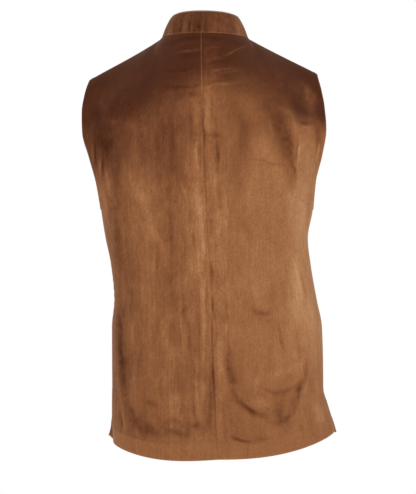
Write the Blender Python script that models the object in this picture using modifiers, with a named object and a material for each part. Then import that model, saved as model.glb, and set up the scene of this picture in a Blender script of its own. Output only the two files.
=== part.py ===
"""A sleeveless jacket with a stand collar, its cloth built as thin shells.

Metres, +Z up. The front faces -Y and the wearer's left is +X. The origin is the
middle of the neck at the height of the neck points, where the shoulders carry it.
"""
import math

import bmesh
import bpy
from mathutils import Vector

# Cloth and seams
CLOTH_WALL = 0.0018
COLLAR_WALL = 0.0014
LINING_WALL = 0.0012
SEAM_GAP = 0.0003
SEAM_REACH = 0.018

# Heights of the cut
UNDERARM_HEIGHT = -0.288
VENT_HEIGHT = -0.585
BACK_HEM_HEIGHT = -0.6915
FRONT_HEM_HEIGHT = -0.6900
HEM_LIFT_LEFT = 0.0160
HEM_LIFT_RIGHT = 0.0355
HEM_DIP_LEFT = 0.0038
FRONT_LIFT_LEFT = 0.0228
FRONT_LIFT_RIGHT = 0.0280
FRONT_POWER_LEFT = 20.0
FRONT_POWER_RIGHT = 4.5
HEM_POWER_LEFT = 3.0
HEM_POWER_RIGHT = 2.4
VENT_BACK_GAP = 0.010
VENT_FRONT_GAP = 0.012
VENT_FLARE_LEFT = 0.028
VENT_FLARE_RIGHT = 0.0042
VENT_FLARE_POWER = 3.2

# Neckline and shoulders
NECK_HALF_WIDTH = 0.0725
NECK_BACK_DEPTH = 0.0750
NECK_FRONT_DEPTH = 0.0820
NECK_BACK_RISE = 0.0012
NECK_FRONT_DROP = 0.0720
NECK_SEAM_SHIFT = 0.0049
LEFT_TIP = (0.1922, 0.0, -0.0694)
RIGHT_TIP = (-0.1876, 0.0, -0.0594)
SHOULDER_DIP_LEFT = 0.0020
SHOULDER_DIP_RIGHT = 0.0010
SHOULDER_ROLL_START = 0.30
CORNER_BLEND = 0.14
CORNER_EASE = 0.07
CORNER_REACH = 0.34
SHOULDER_EASE = 0.13
NECK_APPROACH = 0.70
BACK_NECK_SLOPE = 1.60
FRONT_NECK_SLOPE = 1.30
SQUARENESS = 2.5
UNDERARM_EASE = 0.40

# Front closing
LAP = 0.0180
LAP_CLEARANCE = 0.0016

# Collar
COLLAR_TOP_HALF_WIDTH = 0.0584
COLLAR_TOP_BACK_DEPTH = 0.0625
COLLAR_TOP_FRONT_DEPTH = 0.0720
COLLAR_BACK_HEIGHT = 0.0360
COLLAR_SIDE_HEIGHT = 0.0328
COLLAR_FRONT_HEIGHT = 0.0340
COLLAR_CORNER = 0.0130
COLLAR_CORNER_TURN = 12.0
COLLAR_BOW = 0.0012
COLLAR_END_GAP = 0.0030
COLLAR_LIP = 0.0028
COLLAR_INNER_START = 0.0014

# Buttons
BUTTON_COUNT = 5
BUTTON_RADIUS = 0.0090
BUTTON_RISE = 0.0048
BUTTON_TOP_HEIGHT = -0.0960
BUTTON_SPACING = 0.0870
BUTTON_CLEARANCE = 0.0005

# Divisions of the grids, as shares of the way across a panel
BACK_STRIP = 0.0065
FRONT_STRIP = 0.0060
BACK_NECK_COLUMN = 0.42
FRONT_NECK_COLUMN = 0.53
LAP_COLUMN = 0.064
UNDER_FLAT_COLUMN = 0.150
UNDER_END_COLUMN = 0.200
BACK_NECK_STEPS = 9
FRONT_NECK_STEPS = 7
SHOULDER_STEPS = 9
BODY_ROWS_BELOW = 18
BODY_ROWS_ABOVE = 18
COLLAR_ROWS = 5

# The body of the jacket by height: where its seams, sides, back and front lie
BODY_COLUMNS = ("height", "seam_x", "front_x", "left_x", "right_x", "back_y", "front_y")
BODY_ROWS = (
    (-0.7000, -0.0218, -0.0130, 0.1515, -0.2260, 0.1340, -0.1400),
    (-0.6558, -0.0184, -0.0120, 0.1540, -0.2168, 0.1325, -0.1385),
    (-0.6339, -0.0174, -0.0115, 0.1556, -0.2108, 0.1315, -0.1380),
    (-0.6121, -0.0168, -0.0108, 0.1556, -0.2048, 0.1305, -0.1370),
    (-0.5880, -0.0155, -0.0103, 0.1554, -0.1982, 0.1292, -0.1359),
    (-0.5419, -0.0131, -0.0092, 0.1557, -0.1978, 0.1260, -0.1340),
    (-0.4836, -0.0113, -0.0076, 0.1558, -0.1960, 0.1215, -0.1315),
    (-0.4380, -0.0108, -0.0060, 0.1510, -0.1873, 0.1165, -0.1300),
    (-0.3786, -0.0086, -0.0042, 0.1574, -0.1770, 0.1105, -0.1295),
    (-0.3356, -0.0048, -0.0030, 0.1665, -0.1724, 0.1095, -0.1310),
    (-0.2880, -0.0020, -0.0018, 0.1740, -0.1806, 0.1155, -0.1355),
    (-0.2400, -0.0005, -0.0008, 0.1800, -0.1850, 0.1220, -0.1385),
    (-0.1940, 0.0012, 0.0000, 0.1800, -0.1850, 0.1260, -0.1375),
    (-0.1500, 0.0022, 0.0000, 0.1800, -0.1850, 0.1255, -0.1270),
    (-0.1100, 0.0034, 0.0000, 0.1800, -0.1850, 0.1190, -0.1080),
    (-0.0720, 0.0040, 0.0000, 0.1800, -0.1850, 0.1070, -0.0820),
    (-0.0360, 0.0045, 0.0000, 0.1800, -0.1850, 0.0920, -0.0820),
    (0.0012, 0.0049, 0.0000, 0.1800, -0.1850, 0.0750, -0.0820),
)

# The armhole edge from the underarm up to the shoulder tip
ARMHOLE_COLUMNS = ("climb", "height", "left_x", "right_x", "back_y", "front_y")
ARMHOLE_ROWS = (
    (0.00, -0.2880, 0.1740, -0.1806, 0.0000, 0.0000),
    (0.07, -0.2860, 0.1745, -0.1810, 0.0160, -0.0180),
    (0.16, -0.2740, 0.1758, -0.1814, 0.0330, -0.0390),
    (0.30, -0.2440, 0.1804, -0.1836, 0.0480, -0.0580),
    (0.46, -0.2020, 0.1916, -0.1938, 0.0550, -0.0660),
    (0.62, -0.1620, 0.2026, -0.2004, 0.0530, -0.0630),
    (0.77, -0.1260, 0.2040, -0.1980, 0.0440, -0.0510),
    (0.88, -0.0955, 0.2001, -0.1930, 0.0310, -0.0350),
    (0.95, -0.0775, 0.1955, -0.1890, 0.0180, -0.0200),
    (0.985, -0.0703, 0.1932, -0.1880, 0.0060, -0.0066),
    (1.00, -0.0694, 0.1922, -0.1876, 0.0000, 0.0000),
)

# The largest folds: three points on each, how far it stands out and how wide it is
FOLD_COLUMNS = ("x1", "z1", "x2", "z2", "x3", "z3", "rise", "width")
BACK_FOLDS = (
    (0.1420, -0.2300, 0.1430, -0.4300, 0.1290, -0.6450, 0.0026, 0.0085),
    (0.1290, -0.4700, 0.1300, -0.5800, 0.1350, -0.6400, -0.0022, 0.0080),
    (-0.1270, -0.1190, -0.1510, -0.1700, -0.1490, -0.2550, 0.0028, 0.0090),
    (-0.1120, -0.1400, -0.1330, -0.1880, -0.1460, -0.2400, -0.0026, 0.0090),
    (-0.0400, -0.5480, -0.0920, -0.6220, -0.1620, -0.5640, 0.0030, 0.0120),
    (-0.0450, -0.5200, -0.0930, -0.5830, -0.1500, -0.5350, -0.0024, 0.0140),
    (0.1370, -0.5880, 0.0960, -0.6380, 0.0400, -0.6560, -0.0026, 0.0120),
    (0.0310, -0.4400, 0.0270, -0.5600, 0.0290, -0.6700, -0.0018, 0.0085),
    (0.0540, -0.3000, 0.0540, -0.3900, 0.0500, -0.4800, -0.0016, 0.0100),
    (-0.0620, -0.3000, -0.0680, -0.4000, -0.0600, -0.5000, -0.0014, 0.0120),
)
FRONT_FOLDS = (
    (0.1400, -0.2400, 0.1380, -0.4200, 0.1290, -0.6500, 0.0024, 0.0090),
    (-0.1450, -0.2500, -0.1500, -0.4300, -0.1560, -0.6400, 0.0026, 0.0095),
    (0.1180, -0.1350, 0.1400, -0.1800, 0.1420, -0.2350, -0.0024, 0.0090),
    (-0.1150, -0.1300, -0.1380, -0.1750, -0.1420, -0.2400, -0.0026, 0.0095),
    (0.0750, -0.4600, 0.0690, -0.5600, 0.0720, -0.6700, -0.0020, 0.0120),
    (-0.0820, -0.4400, -0.0880, -0.5500, -0.0860, -0.6700, -0.0022, 0.0120),
    (0.0330, -0.3100, 0.0700, -0.3400, 0.1120, -0.3550, -0.0016, 0.0110),
    (-0.0400, -0.3200, -0.0800, -0.3450, -0.1220, -0.3500, -0.0016, 0.0110),
)

# Colours and finish of each material
MATERIALS = {
    "velvet": ((0.27, 0.115, 0.05, 1.0), 0.85, 0.0),
    "collar_velvet": ((0.13, 0.045, 0.022, 1.0), 0.85, 0.0),
    "collar_cloth": ((0.20, 0.085, 0.042, 1.0), 0.80, 0.0),
    "button": ((0.10, 0.04, 0.02, 1.0), 0.45, 0.0),
}


def clear_scene():
    """Remove every object and material that the file holds."""
    for old in list(bpy.data.objects):
        bpy.data.objects.remove(old, do_unlink=True)
    for old in list(bpy.data.meshes):
        bpy.data.meshes.remove(old)
    for old in list(bpy.data.materials):
        bpy.data.materials.remove(old)


def clamp(value, low=0.0, high=1.0):
    """Keep a value between two limits."""
    return max(low, min(high, value))


def soft_step(value):
    """Rise smoothly from 0 to 1 while the value goes from 0 to 1."""
    value = clamp(value)
    return value * value * (3.0 - 2.0 * value)


def lookup(columns, rows, wanted, at):
    """Read one column of a table smoothly at a value of its first column."""
    index = columns.index(wanted)
    keys = [row[0] for row in rows]
    values = [row[index] for row in rows]
    if at <= keys[0]:
        slope = (values[1] - values[0]) / (keys[1] - keys[0])
        return values[0] + slope * (at - keys[0])
    if at >= keys[-1]:
        return values[-1]
    low = 0
    while keys[low + 1] < at:
        low += 1

    def slope_at(i):
        if i == 0:
            return (values[1] - values[0]) / (keys[1] - keys[0])
        if i == len(keys) - 1:
            return (values[-1] - values[-2]) / (keys[-1] - keys[-2])
        before = (values[i] - values[i - 1]) / (keys[i] - keys[i - 1])
        after = (values[i + 1] - values[i]) / (keys[i + 1] - keys[i])
        return 0.0 if before * after <= 0.0 else 2.0 * before * after / (before + after)

    span = keys[low + 1] - keys[low]
    t = (at - keys[low]) / span
    first = slope_at(low) * span
    last = slope_at(low + 1) * span
    return (
        (2 * t**3 - 3 * t**2 + 1) * values[low]
        + (t**3 - 2 * t**2 + t) * first
        + (3 * t**2 - 2 * t**3) * values[low + 1]
        + (t**3 - t**2) * last
    )


def body(wanted, height):
    """Read the body table at a height."""
    return lookup(BODY_COLUMNS, BODY_ROWS, wanted, height)


def armhole(wanted, climb):
    """Read the armhole table, 0 at the underarm and 1 at the shoulder tip."""
    return lookup(ARMHOLE_COLUMNS, ARMHOLE_ROWS, wanted, climb)


def spread(points, fractions):
    """Place points along a line at given fractions of its length."""
    lengths = [0.0]
    for here, there in zip(points, points[1:]):
        lengths.append(lengths[-1] + (there - here).length)
    total = lengths[-1]
    placed = []
    i = 0
    for fraction in fractions:
        target = fraction * total
        while i < len(points) - 2 and lengths[i + 1] < target:
            i += 1
        t = (target - lengths[i]) / max(lengths[i + 1] - lengths[i], 1e-9)
        placed.append(points[i].lerp(points[i + 1], t))
    return placed


def neck_point(turn):
    """A point of the neckline: turn 0 at the back, 90 at a side, 180 at the front."""
    angle = math.radians(abs(turn))
    side = 1.0 if turn >= 0 else -1.0
    x = side * NECK_HALF_WIDTH * math.sin(angle)
    if angle <= math.pi / 2:
        y = NECK_BACK_DEPTH * math.cos(angle)
        z = NECK_BACK_RISE * math.cos(angle) ** 2
        x += NECK_SEAM_SHIFT * math.cos(angle) ** 2
    else:
        y = NECK_FRONT_DEPTH * math.cos(angle)
        z = -NECK_FRONT_DROP * math.cos(angle) ** 2
    return Vector((x, y, z))


def shoulder_line(side, steps=24):
    """The shoulder seam from the neck point to the tip, dipping near the neck."""
    start = neck_point(90 * side)
    end = Vector(LEFT_TIP if side > 0 else RIGHT_TIP)
    dip = SHOULDER_DIP_LEFT if side > 0 else SHOULDER_DIP_RIGHT
    line = []
    for i in range(steps + 1):
        t = i / steps
        point = start.lerp(end, t)
        point.z -= dip * 6.75 * t * (1.0 - t) ** 2
        line.append(point)
    return line


def section_line(centre, edge, lap, side):
    """A level line of the cloth from its centre edge round to its outer edge."""
    depth = centre.y
    open_part = clamp(abs(edge.y / depth))
    reach = abs(edge.x - centre.x) / (1.0 - open_part**SQUARENESS) ** (1.0 / SQUARENESS)
    last = math.acos(open_part ** (SQUARENESS / 2.0))
    first = -math.asin((lap / reach) ** (SQUARENESS / 2.0)) if lap else 0.0
    steps = 90
    line = []
    for i in range(steps + 1):
        angle = first + (last - first) * i / steps
        across = math.copysign(abs(math.sin(angle)) ** (2.0 / SQUARENESS), angle)
        inward = abs(math.cos(angle)) ** (2.0 / SQUARENESS)
        share = clamp(abs(across) * reach / max(abs(edge.x - centre.x), 1e-9))
        height = centre.z + (edge.z - centre.z) * share**2
        line.append(Vector((centre.x + side * reach * across, depth * inward, height)))
    return line


def vent_opening(height):
    """How far a vent stands open, 0 at its top and 1 at the hem."""
    return clamp((VENT_HEIGHT - height) / (VENT_HEIGHT - BACK_HEM_HEIGHT)) ** 1.4


def low_row(face, side, level, columns):
    """A row between the hem, level 0, and the underarm, level 1."""
    back = face == "back"
    hem = BACK_HEM_HEIGHT if back else FRONT_HEM_HEIGHT
    height = hem + (UNDERARM_HEIGHT - hem) * level
    if back:
        lift = HEM_LIFT_LEFT if side > 0 else HEM_LIFT_RIGHT
    else:
        lift = FRONT_LIFT_LEFT if side > 0 else FRONT_LIFT_RIGHT
    edge_lift = lift * (1.0 - level) ** 3
    edge_height = height + edge_lift
    opening = vent_opening(edge_height)
    edge_x = body("left_x" if side > 0 else "right_x", edge_height)
    if back:
        edge_y = VENT_BACK_GAP * opening
    else:
        edge_y = -VENT_FRONT_GAP * opening
        if side > 0:
            edge_x += VENT_FLARE_LEFT * opening**VENT_FLARE_POWER
        else:
            edge_x -= VENT_FLARE_RIGHT * opening
    centre_x = body("seam_x" if back else "front_x", height)
    depth = body("back_y" if back else "front_y", height)
    centre = Vector((centre_x, depth, height))
    edge = Vector((edge_x, edge_y, height))
    lap = 0.0 if back else LAP
    if back:
        power = HEM_POWER_LEFT if side > 0 else HEM_POWER_RIGHT
    else:
        power = FRONT_POWER_LEFT if side > 0 else FRONT_POWER_RIGHT
    line = section_line(centre, edge, lap, side)
    placed = spread(line, columns)
    for point in placed:
        share = clamp(abs(point.x - centre_x) / abs(edge_x - centre_x))
        point.z = height + edge_lift * share**power
        if side > 0:
            point.z -= HEM_DIP_LEFT * math.sin(math.pi * share) * (1.0 - level) ** 3
    return placed


def neck_turn(face, column, neck_column):
    """Where on the neckline a column ends: 0 at the back, 90 at the side, 180 in front."""
    if face == "back":
        return 90.0 * column / neck_column
    if column < LAP_COLUMN:
        past = math.degrees(math.asin(LAP / NECK_HALF_WIDTH))
        return 180.0 + past * (1.0 - column / LAP_COLUMN)
    return 180.0 - 90.0 * (column - LAP_COLUMN) / (neck_column - LAP_COLUMN)


def top_row(face, side, columns, neck_column):
    """The top edge: the neckline up to the neck point, then the shoulder seam."""
    placed = []
    for column in columns:
        if column > neck_column + 1e-9:
            break
        placed.append(neck_point(side * neck_turn(face, column, neck_column)))
    rest = [c for c in columns if c > neck_column + 1e-9]
    outer = [(c - neck_column) / (1.0 - neck_column) for c in rest]
    return placed + spread(shoulder_line(side), outer)


def high_row(face, side, climb, columns):
    """A row above the underarm before the shoulder is rolled over."""
    back = face == "back"
    top = NECK_BACK_RISE if back else -NECK_FRONT_DROP
    height = UNDERARM_HEIGHT + (top - UNDERARM_HEIGHT) * climb
    centre_x = body("seam_x" if back else "front_x", height)
    depth = body("back_y" if back else "front_y", height)
    edge_x = armhole("left_x" if side > 0 else "right_x", climb)
    edge_y = armhole("back_y" if back else "front_y", climb)
    edge_z = armhole("height", climb)
    if side < 0:
        edge_z += (RIGHT_TIP[2] - LEFT_TIP[2]) * soft_step(climb)
    centre = Vector((centre_x, depth, height))
    edge = Vector((edge_x, edge_y, edge_z))
    line = section_line(centre, edge, 0.0 if back else LAP, side)
    placed = spread(line, columns)
    ease = 1.0 - soft_step(climb / UNDERARM_EASE)
    for point in placed:
        own_depth = body("back_y" if back else "front_y", point.z)
        point.y *= 1.0 + (own_depth / depth - 1.0) * ease
    return placed


def top_slopes(face, side, columns, neck_column, goal, rates):
    """How each column should run as it meets the top edge."""
    fall = (goal[-1].z - goal[-4].z) / (goal[-1].x - goal[-4].x)
    slopes = []
    for column, rate in zip(columns, rates):
        turn = neck_turn(face, column, neck_column)
        beside = column > neck_column
        angle = math.pi / 2 if beside else math.radians(turn)
        steep = BACK_NECK_SLOPE if face == "back" else FRONT_NECK_SLOPE
        climb = abs(fall) + (steep - abs(fall)) * math.cos(angle) ** 2
        inward = Vector((-side * math.sin(angle), -math.cos(angle), climb))
        to_neck = inward * NECK_APPROACH * math.hypot(rate.x, rate.y)
        over_shoulder = Vector((rate.x, rate.y, fall * rate.x))
        share = soft_step((column - neck_column + CORNER_BLEND) / (2 * CORNER_BLEND))
        slopes.append(to_neck.lerp(over_shoulder, share))
    return slopes


def mean_near(line, columns, column, width):
    """The mean of the points of a row, those nearest to a column counting most."""
    total = 0.0
    mean = Vector((0.0, 0.0, 0.0))
    for i, near in enumerate(line):
        step = columns[min(i + 1, len(line) - 1)] - columns[max(i - 1, 0)]
        weight = step * math.exp(-(((columns[i] - column) / width) ** 2))
        mean += near * weight
        total += weight
    return mean / total


def eased_corner(line, columns, neck_column, width, strength):
    """A row with its bend below the neck point rounded off."""
    eased = []
    for column, point in zip(columns, line):
        share = strength * soft_step(1.0 - abs(column - neck_column) / CORNER_REACH)
        eased.append(point.lerp(mean_near(line, columns, column, width), share))
    return eased


def panel_rows(face, side, columns, lows, highs, neck_column):
    """All rows of a panel from the hem to its top edge."""
    rows = [low_row(face, side, level, columns) for level in lows]
    goal = top_row(face, side, columns, neck_column)
    eased = eased_corner(goal, columns, neck_column, CORNER_EASE, 1.0)
    last = high_row(face, side, 1.0, columns)
    before = high_row(face, side, 0.99, columns)
    span = 1.0 - SHOULDER_ROLL_START
    turn_rate = math.pi / 2 / span
    rates = []
    for i in range(len(columns)):
        rate = (last[i] - before[i]) / 0.01
        rate.x += (goal[i].x - last[i].x) * turn_rate
        rate.y += (goal[i].y - last[i].y) * turn_rate
        rates.append(rate)
    slopes = top_slopes(face, side, columns, neck_column, goal, rates)
    for climb in highs:
        row = high_row(face, side, climb, columns)
        t = clamp((climb - SHOULDER_ROLL_START) / span)
        roll = 1.0 - math.cos(math.pi / 2 * t)
        early = span * t**2 * (1.0 - t)
        late = span * t**5 * (1.0 - t)
        sharp = 1.0 - (1.0 - t**8) ** 2
        for i, point in enumerate(row):
            inside = soft_step((1.0 - columns[i]) / 0.06)
            aim = eased[i].lerp(goal[i], sharp)
            point.x += (aim.x - last[i].x) * roll
            point.y += (aim.y - last[i].y) * roll
            point.z += (aim.z - last[i].z) * soft_step(t)
            turn = (rates[i] - slopes[i]) * inside
            point += Vector((turn.x * late, turn.y * late, turn.z * early))
        calm = soft_step(t / 0.3) * (1.0 - t**8) ** 2
        rows.append(eased_corner(row, columns, neck_column, SHOULDER_EASE, calm))
    return rows


def grid_normals(rows, outward):
    """The outward normal at each point of a grid."""
    normals = []
    for r, row in enumerate(rows):
        line = []
        for c in range(len(row)):
            across = rows[r][min(c + 1, len(row) - 1)] - rows[r][max(c - 1, 0)]
            up = rows[min(r + 1, len(rows) - 1)][c] - rows[max(r - 1, 0)][c]
            line.append(across.cross(up).normalized() * outward)
        normals.append(line)
    return normals


def fold_height(folds, x, z):
    """How far the folds move the cloth out at a point seen square on."""
    total = 0.0
    for fold in folds:
        size = dict(zip(FOLD_COLUMNS, fold))
        best = 1.0
        best_t = 0.0
        for i in range(25):
            t = i / 24
            first = 2 * (t - 0.5) * (t - 1)
            middle = 4 * t * (1 - t)
            last = 2 * t * (t - 0.5)
            px = first * size["x1"] + middle * size["x2"] + last * size["x3"]
            pz = first * size["z1"] + middle * size["z2"] + last * size["z3"]
            gap = math.hypot(x - px, z - pz)
            if gap < best:
                best = gap
                best_t = t
        taper = math.sin(math.pi * clamp(best_t, 0.04, 0.96)) ** 0.6
        total += size["rise"] * taper * math.exp(-((best / size["width"]) ** 2))
    return total


def under_lap(face, side, column):
    """How far the under front is set back so that the upper one laps over it."""
    if face == "back" or side > 0:
        return 0.0
    span = UNDER_END_COLUMN - UNDER_FLAT_COLUMN
    return (CLOTH_WALL + LAP_CLEARANCE) * soft_step((UNDER_END_COLUMN - column) / span)


def dress_panel(face, side, rows, columns):
    """Add the folds and the set back of the under front, keeping the seams shut."""
    outward = side if face == "back" else -side
    normals = grid_normals(rows, -outward)
    folds = BACK_FOLDS if face == "back" else FRONT_FOLDS
    dressed = []
    for row, line in zip(rows, normals):
        new_row = []
        for c, (point, normal) in enumerate(zip(row, line)):
            move = fold_height(folds, point.x, point.z)
            to_edge = min((point - row[0]).length, (point - row[-1]).length)
            move *= soft_step(to_edge / SEAM_REACH)
            move -= under_lap(face, side, columns[c])
            new_row.append(point + normal * move)
        dressed.append(new_row)
    return dressed


def open_seams(rows, sides):
    """Draw each named edge of a grid back by half of the seam gap."""
    half = SEAM_GAP / 2
    moved = [[point.copy() for point in row] for row in rows]
    for r, row in enumerate(rows):
        if "start" in sides:
            moved[r][0] += (row[1] - row[0]).normalized() * half
        if "end" in sides:
            moved[r][-1] += (row[-2] - row[-1]).normalized() * half
    if "top" in sides:
        for c in range(len(rows[0])):
            moved[-1][c] += (rows[-2][c] - rows[-1][c]).normalized() * half
    if "bottom" in sides:
        for c in range(len(rows[0])):
            moved[0][c] += (rows[1][c] - rows[0][c]).normalized() * half
    return moved


def between(first, last, steps):
    """Even steps from one value up to, and with, another."""
    return [first + (last - first) * i / steps for i in range(1, steps + 1)]


def panel_columns(face):
    """Shares across a panel, narrow at its seams and exact at its corners."""
    if face == "back":
        columns = [0.0, BACK_STRIP]
        columns += between(BACK_STRIP, BACK_NECK_COLUMN, BACK_NECK_STEPS)
        columns += between(BACK_NECK_COLUMN, 1.0 - BACK_STRIP, SHOULDER_STEPS + 1)
    else:
        columns = [0.0, FRONT_STRIP, 0.0289, LAP_COLUMN, 0.105]
        columns += [UNDER_FLAT_COLUMN, 0.175, UNDER_END_COLUMN]
        columns += between(UNDER_END_COLUMN, FRONT_NECK_COLUMN, FRONT_NECK_STEPS)
        columns += between(FRONT_NECK_COLUMN, 1.0 - FRONT_STRIP, SHOULDER_STEPS)
    return columns + [1.0]


def rows_below():
    """Levels from the hem to the underarm, one of them at the top of the vents."""
    vent = (VENT_HEIGHT - BACK_HEM_HEIGHT) / (UNDERARM_HEIGHT - BACK_HEM_HEIGHT)
    low_count = 6
    values = [vent * i / low_count for i in range(low_count)]
    high_count = BODY_ROWS_BELOW - low_count
    values += [vent + (1 - vent) * i / high_count for i in range(high_count + 1)]
    return values


def rows_above():
    """Climbs from just above the underarm to the shoulder."""
    values = [0.03]
    count = BODY_ROWS_ABOVE - 2
    for i in range(1, count + 1):
        values.append(0.03 + (0.992 - 0.03) * (1.0 - (1.0 - i / count) ** 1.2))
    values.append(1.0)
    return values


def make_material(name):
    """A plain material with one colour."""
    colour, roughness, metallic = MATERIALS[name]
    made = bpy.data.materials.new(name)
    made.use_nodes = True
    shader = made.node_tree.nodes["Principled BSDF"]
    shader.inputs["Base Color"].default_value = colour
    shader.inputs["Roughness"].default_value = roughness
    shader.inputs["Metallic"].default_value = metallic
    made.diffuse_color = colour
    return made


def grid_object(name, rows, wall, material, home, flip):
    """A shell of one thickness inward from a grid of points."""
    width = len(rows[0])
    vertices = [tuple(point) for row in rows for point in row]
    faces = []
    for r in range(len(rows) - 1):
        for c in range(width - 1):
            a = r * width + c
            face = (a, a + 1, a + 1 + width, a + width)
            faces.append(tuple(reversed(face)) if flip else face)
    mesh = bpy.data.meshes.new(name)
    mesh.from_pydata(vertices, [], faces)
    mesh.update()
    for polygon in mesh.polygons:
        polygon.use_smooth = True
    mesh.materials.append(make_material(material))
    made = bpy.data.objects.new(name, mesh)
    home.objects.link(made)
    shell = made.modifiers.new("cloth_wall", "SOLIDIFY")
    shell.thickness = wall
    shell.offset = -1.0
    shell.use_even_offset = True
    shell.use_rim = True
    return made


def make_panel(face, side, name, home):
    """One cut panel of the body."""
    columns = panel_columns(face)
    neck_column = BACK_NECK_COLUMN if face == "back" else FRONT_NECK_COLUMN
    rows = panel_rows(face, side, columns, rows_below(), rows_above(), neck_column)
    rows = dress_panel(face, side, rows, columns)
    edges = {"top", "end"}
    if face == "back":
        edges.add("start")
    rows = open_seams(rows, edges)
    flip = (side > 0) if face == "back" else (side < 0)
    return grid_object(name, rows, CLOTH_WALL, "velvet", home, flip), rows


def collar_frame(turn):
    """Where the collar starts, which way it stands and how tall it is."""
    base = neck_point(turn)
    angle = math.radians(abs(turn))
    side = 1.0 if turn >= 0 else -1.0
    x = side * COLLAR_TOP_HALF_WIDTH * math.sin(angle)
    if angle <= math.pi / 2:
        y = COLLAR_TOP_BACK_DEPTH * math.cos(angle)
        share = 1.0 - math.sin(angle) ** 4
        rise = COLLAR_SIDE_HEIGHT + (COLLAR_BACK_HEIGHT - COLLAR_SIDE_HEIGHT) * share
        x += NECK_SEAM_SHIFT * math.cos(angle) ** 2
    else:
        y = COLLAR_TOP_FRONT_DEPTH * math.cos(angle)
        share = 1.0 - math.sin(angle) ** 4
        rise = COLLAR_SIDE_HEIGHT + (COLLAR_FRONT_HEIGHT - COLLAR_SIDE_HEIGHT) * share
    top = Vector((x, y, base.z + rise))
    along = neck_point(turn + 0.5) - neck_point(turn - 0.5)
    stand = top - base
    out = stand.cross(along).normalized()
    if out.dot(Vector((base.x, base.y, 0.0))) < 0:
        out.negate()
    return base, stand.normalized(), stand.length, out


def collar_stations():
    """Turns at which the panels have points on the neckline, right front to left."""
    half = []
    for column in panel_columns("back"):
        if column < BACK_NECK_COLUMN:
            half.append(neck_turn("back", column, BACK_NECK_COLUMN))
    front = []
    for column in panel_columns("front"):
        if LAP_COLUMN <= column <= FRONT_NECK_COLUMN + 1e-9:
            front.append(neck_turn("front", column, FRONT_NECK_COLUMN))
    half += reversed(front)
    return [-turn for turn in reversed(half) if turn > 0.0] + half


def base_on_chord(turn, stations):
    """A point of the neckline as the panels' straight steps carry it."""
    low = 0
    while low < len(stations) - 2 and stations[low + 1] < turn:
        low += 1
    t = (turn - stations[low]) / (stations[low + 1] - stations[low])
    return neck_point(stations[low]).lerp(neck_point(stations[low + 1]), clamp(t))


def make_collar(name, wall, inset, start, extra, material, home):
    """A band that stands up from the neckline with rounded front corners."""
    stations = collar_stations()
    last = 180.0 - math.degrees(COLLAR_END_GAP / 2 / NECK_HALF_WIDTH)
    turns = [turn for turn in stations if abs(turn) < 180.0 - COLLAR_CORNER_TURN]
    for share in (0.0, 0.06, 0.2, 0.4, 0.65):
        turn = last - COLLAR_CORNER_TURN * share
        turns += [turn, -turn]
    turns.sort()
    rows = [[] for _ in range(COLLAR_ROWS + 1)]
    for turn in turns:
        _, stand, height, out = collar_frame(turn)
        base = base_on_chord(turn, stations)
        to_end = math.radians(last - abs(turn)) * NECK_HALF_WIDTH
        drop = clamp(COLLAR_CORNER - to_end, 0.0, COLLAR_CORNER)
        cut = COLLAR_CORNER - math.sqrt(COLLAR_CORNER**2 - drop**2)
        full = height + extra - cut
        for r in range(COLLAR_ROWS + 1):
            up = start + (full - start) * r / COLLAR_ROWS
            bow = COLLAR_BOW * math.sin(math.pi * clamp(up / height))
            rows[r].append(base + stand * up + out * (bow - inset))
    return grid_object(name, rows, wall, material, home, True), rows


def make_button(name, centre, out, home):
    """A domed button that rests just clear of the cloth."""
    profile = (
        (0.0000, 0.0000),
        (0.0060, 0.0000),
        (0.0082, 0.0006),
        (0.0090, 0.0018),
        (0.0085, 0.0030),
        (0.0068, 0.0040),
        (0.0040, 0.0046),
        (0.0000, 0.0048),
    )
    scale = BUTTON_RADIUS / 0.0090
    lift = BUTTON_RISE / 0.0048
    mesh = bpy.data.meshes.new(name)
    shape = bmesh.new()
    previous = None
    for radius, height in profile:
        vertex = shape.verts.new((radius * scale, 0.0, height * lift))
        if previous:
            shape.edges.new((previous, vertex))
        previous = vertex
    bmesh.ops.spin(
        shape,
        geom=shape.verts[:] + shape.edges[:],
        cent=(0.0, 0.0, 0.0),
        axis=(0.0, 0.0, 1.0),
        angle=2 * math.pi,
        steps=24,
        use_merge=True,
    )
    bmesh.ops.remove_doubles(shape, verts=shape.verts[:], dist=0.00001)
    bmesh.ops.recalc_face_normals(shape, faces=shape.faces[:])
    shape.to_mesh(mesh)
    shape.free()
    for polygon in mesh.polygons:
        polygon.use_smooth = True
    mesh.materials.append(make_material("button"))
    made = bpy.data.objects.new(name, mesh)
    made.location = centre + out * BUTTON_CLEARANCE
    made.rotation_mode = "QUATERNION"
    made.rotation_quaternion = out.to_track_quat("Z", "Y")
    home.objects.link(made)
    return made


def place_buttons(rows, home):
    """Set the buttons down the centre front on the upper front panel."""
    for number in range(BUTTON_COUNT):
        height = BUTTON_TOP_HEIGHT - BUTTON_SPACING * number
        wanted = Vector((body("front_x", height), 0.0, height))
        best = None
        for r in range(1, len(rows) - 1):
            for c in range(1, len(rows[r]) - 1):
                point = rows[r][c]
                gap = math.hypot(point.x - wanted.x, point.z - wanted.z)
                if best is None or gap < best[0]:
                    best = (gap, r, c)
        _, r, c = best
        across = rows[r][c + 1] - rows[r][c - 1]
        up = rows[r + 1][c] - rows[r - 1][c]
        out = across.cross(up).normalized()
        if out.y > 0:
            out.negate()
        near = rows[r][c]
        slide = Vector((wanted.x - near.x, 0.0, wanted.z - near.z))
        slide.y = -(out.x * slide.x + out.z * slide.z) / out.y
        make_button("button_%d" % (number + 1), near + slide, out, home)


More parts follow.
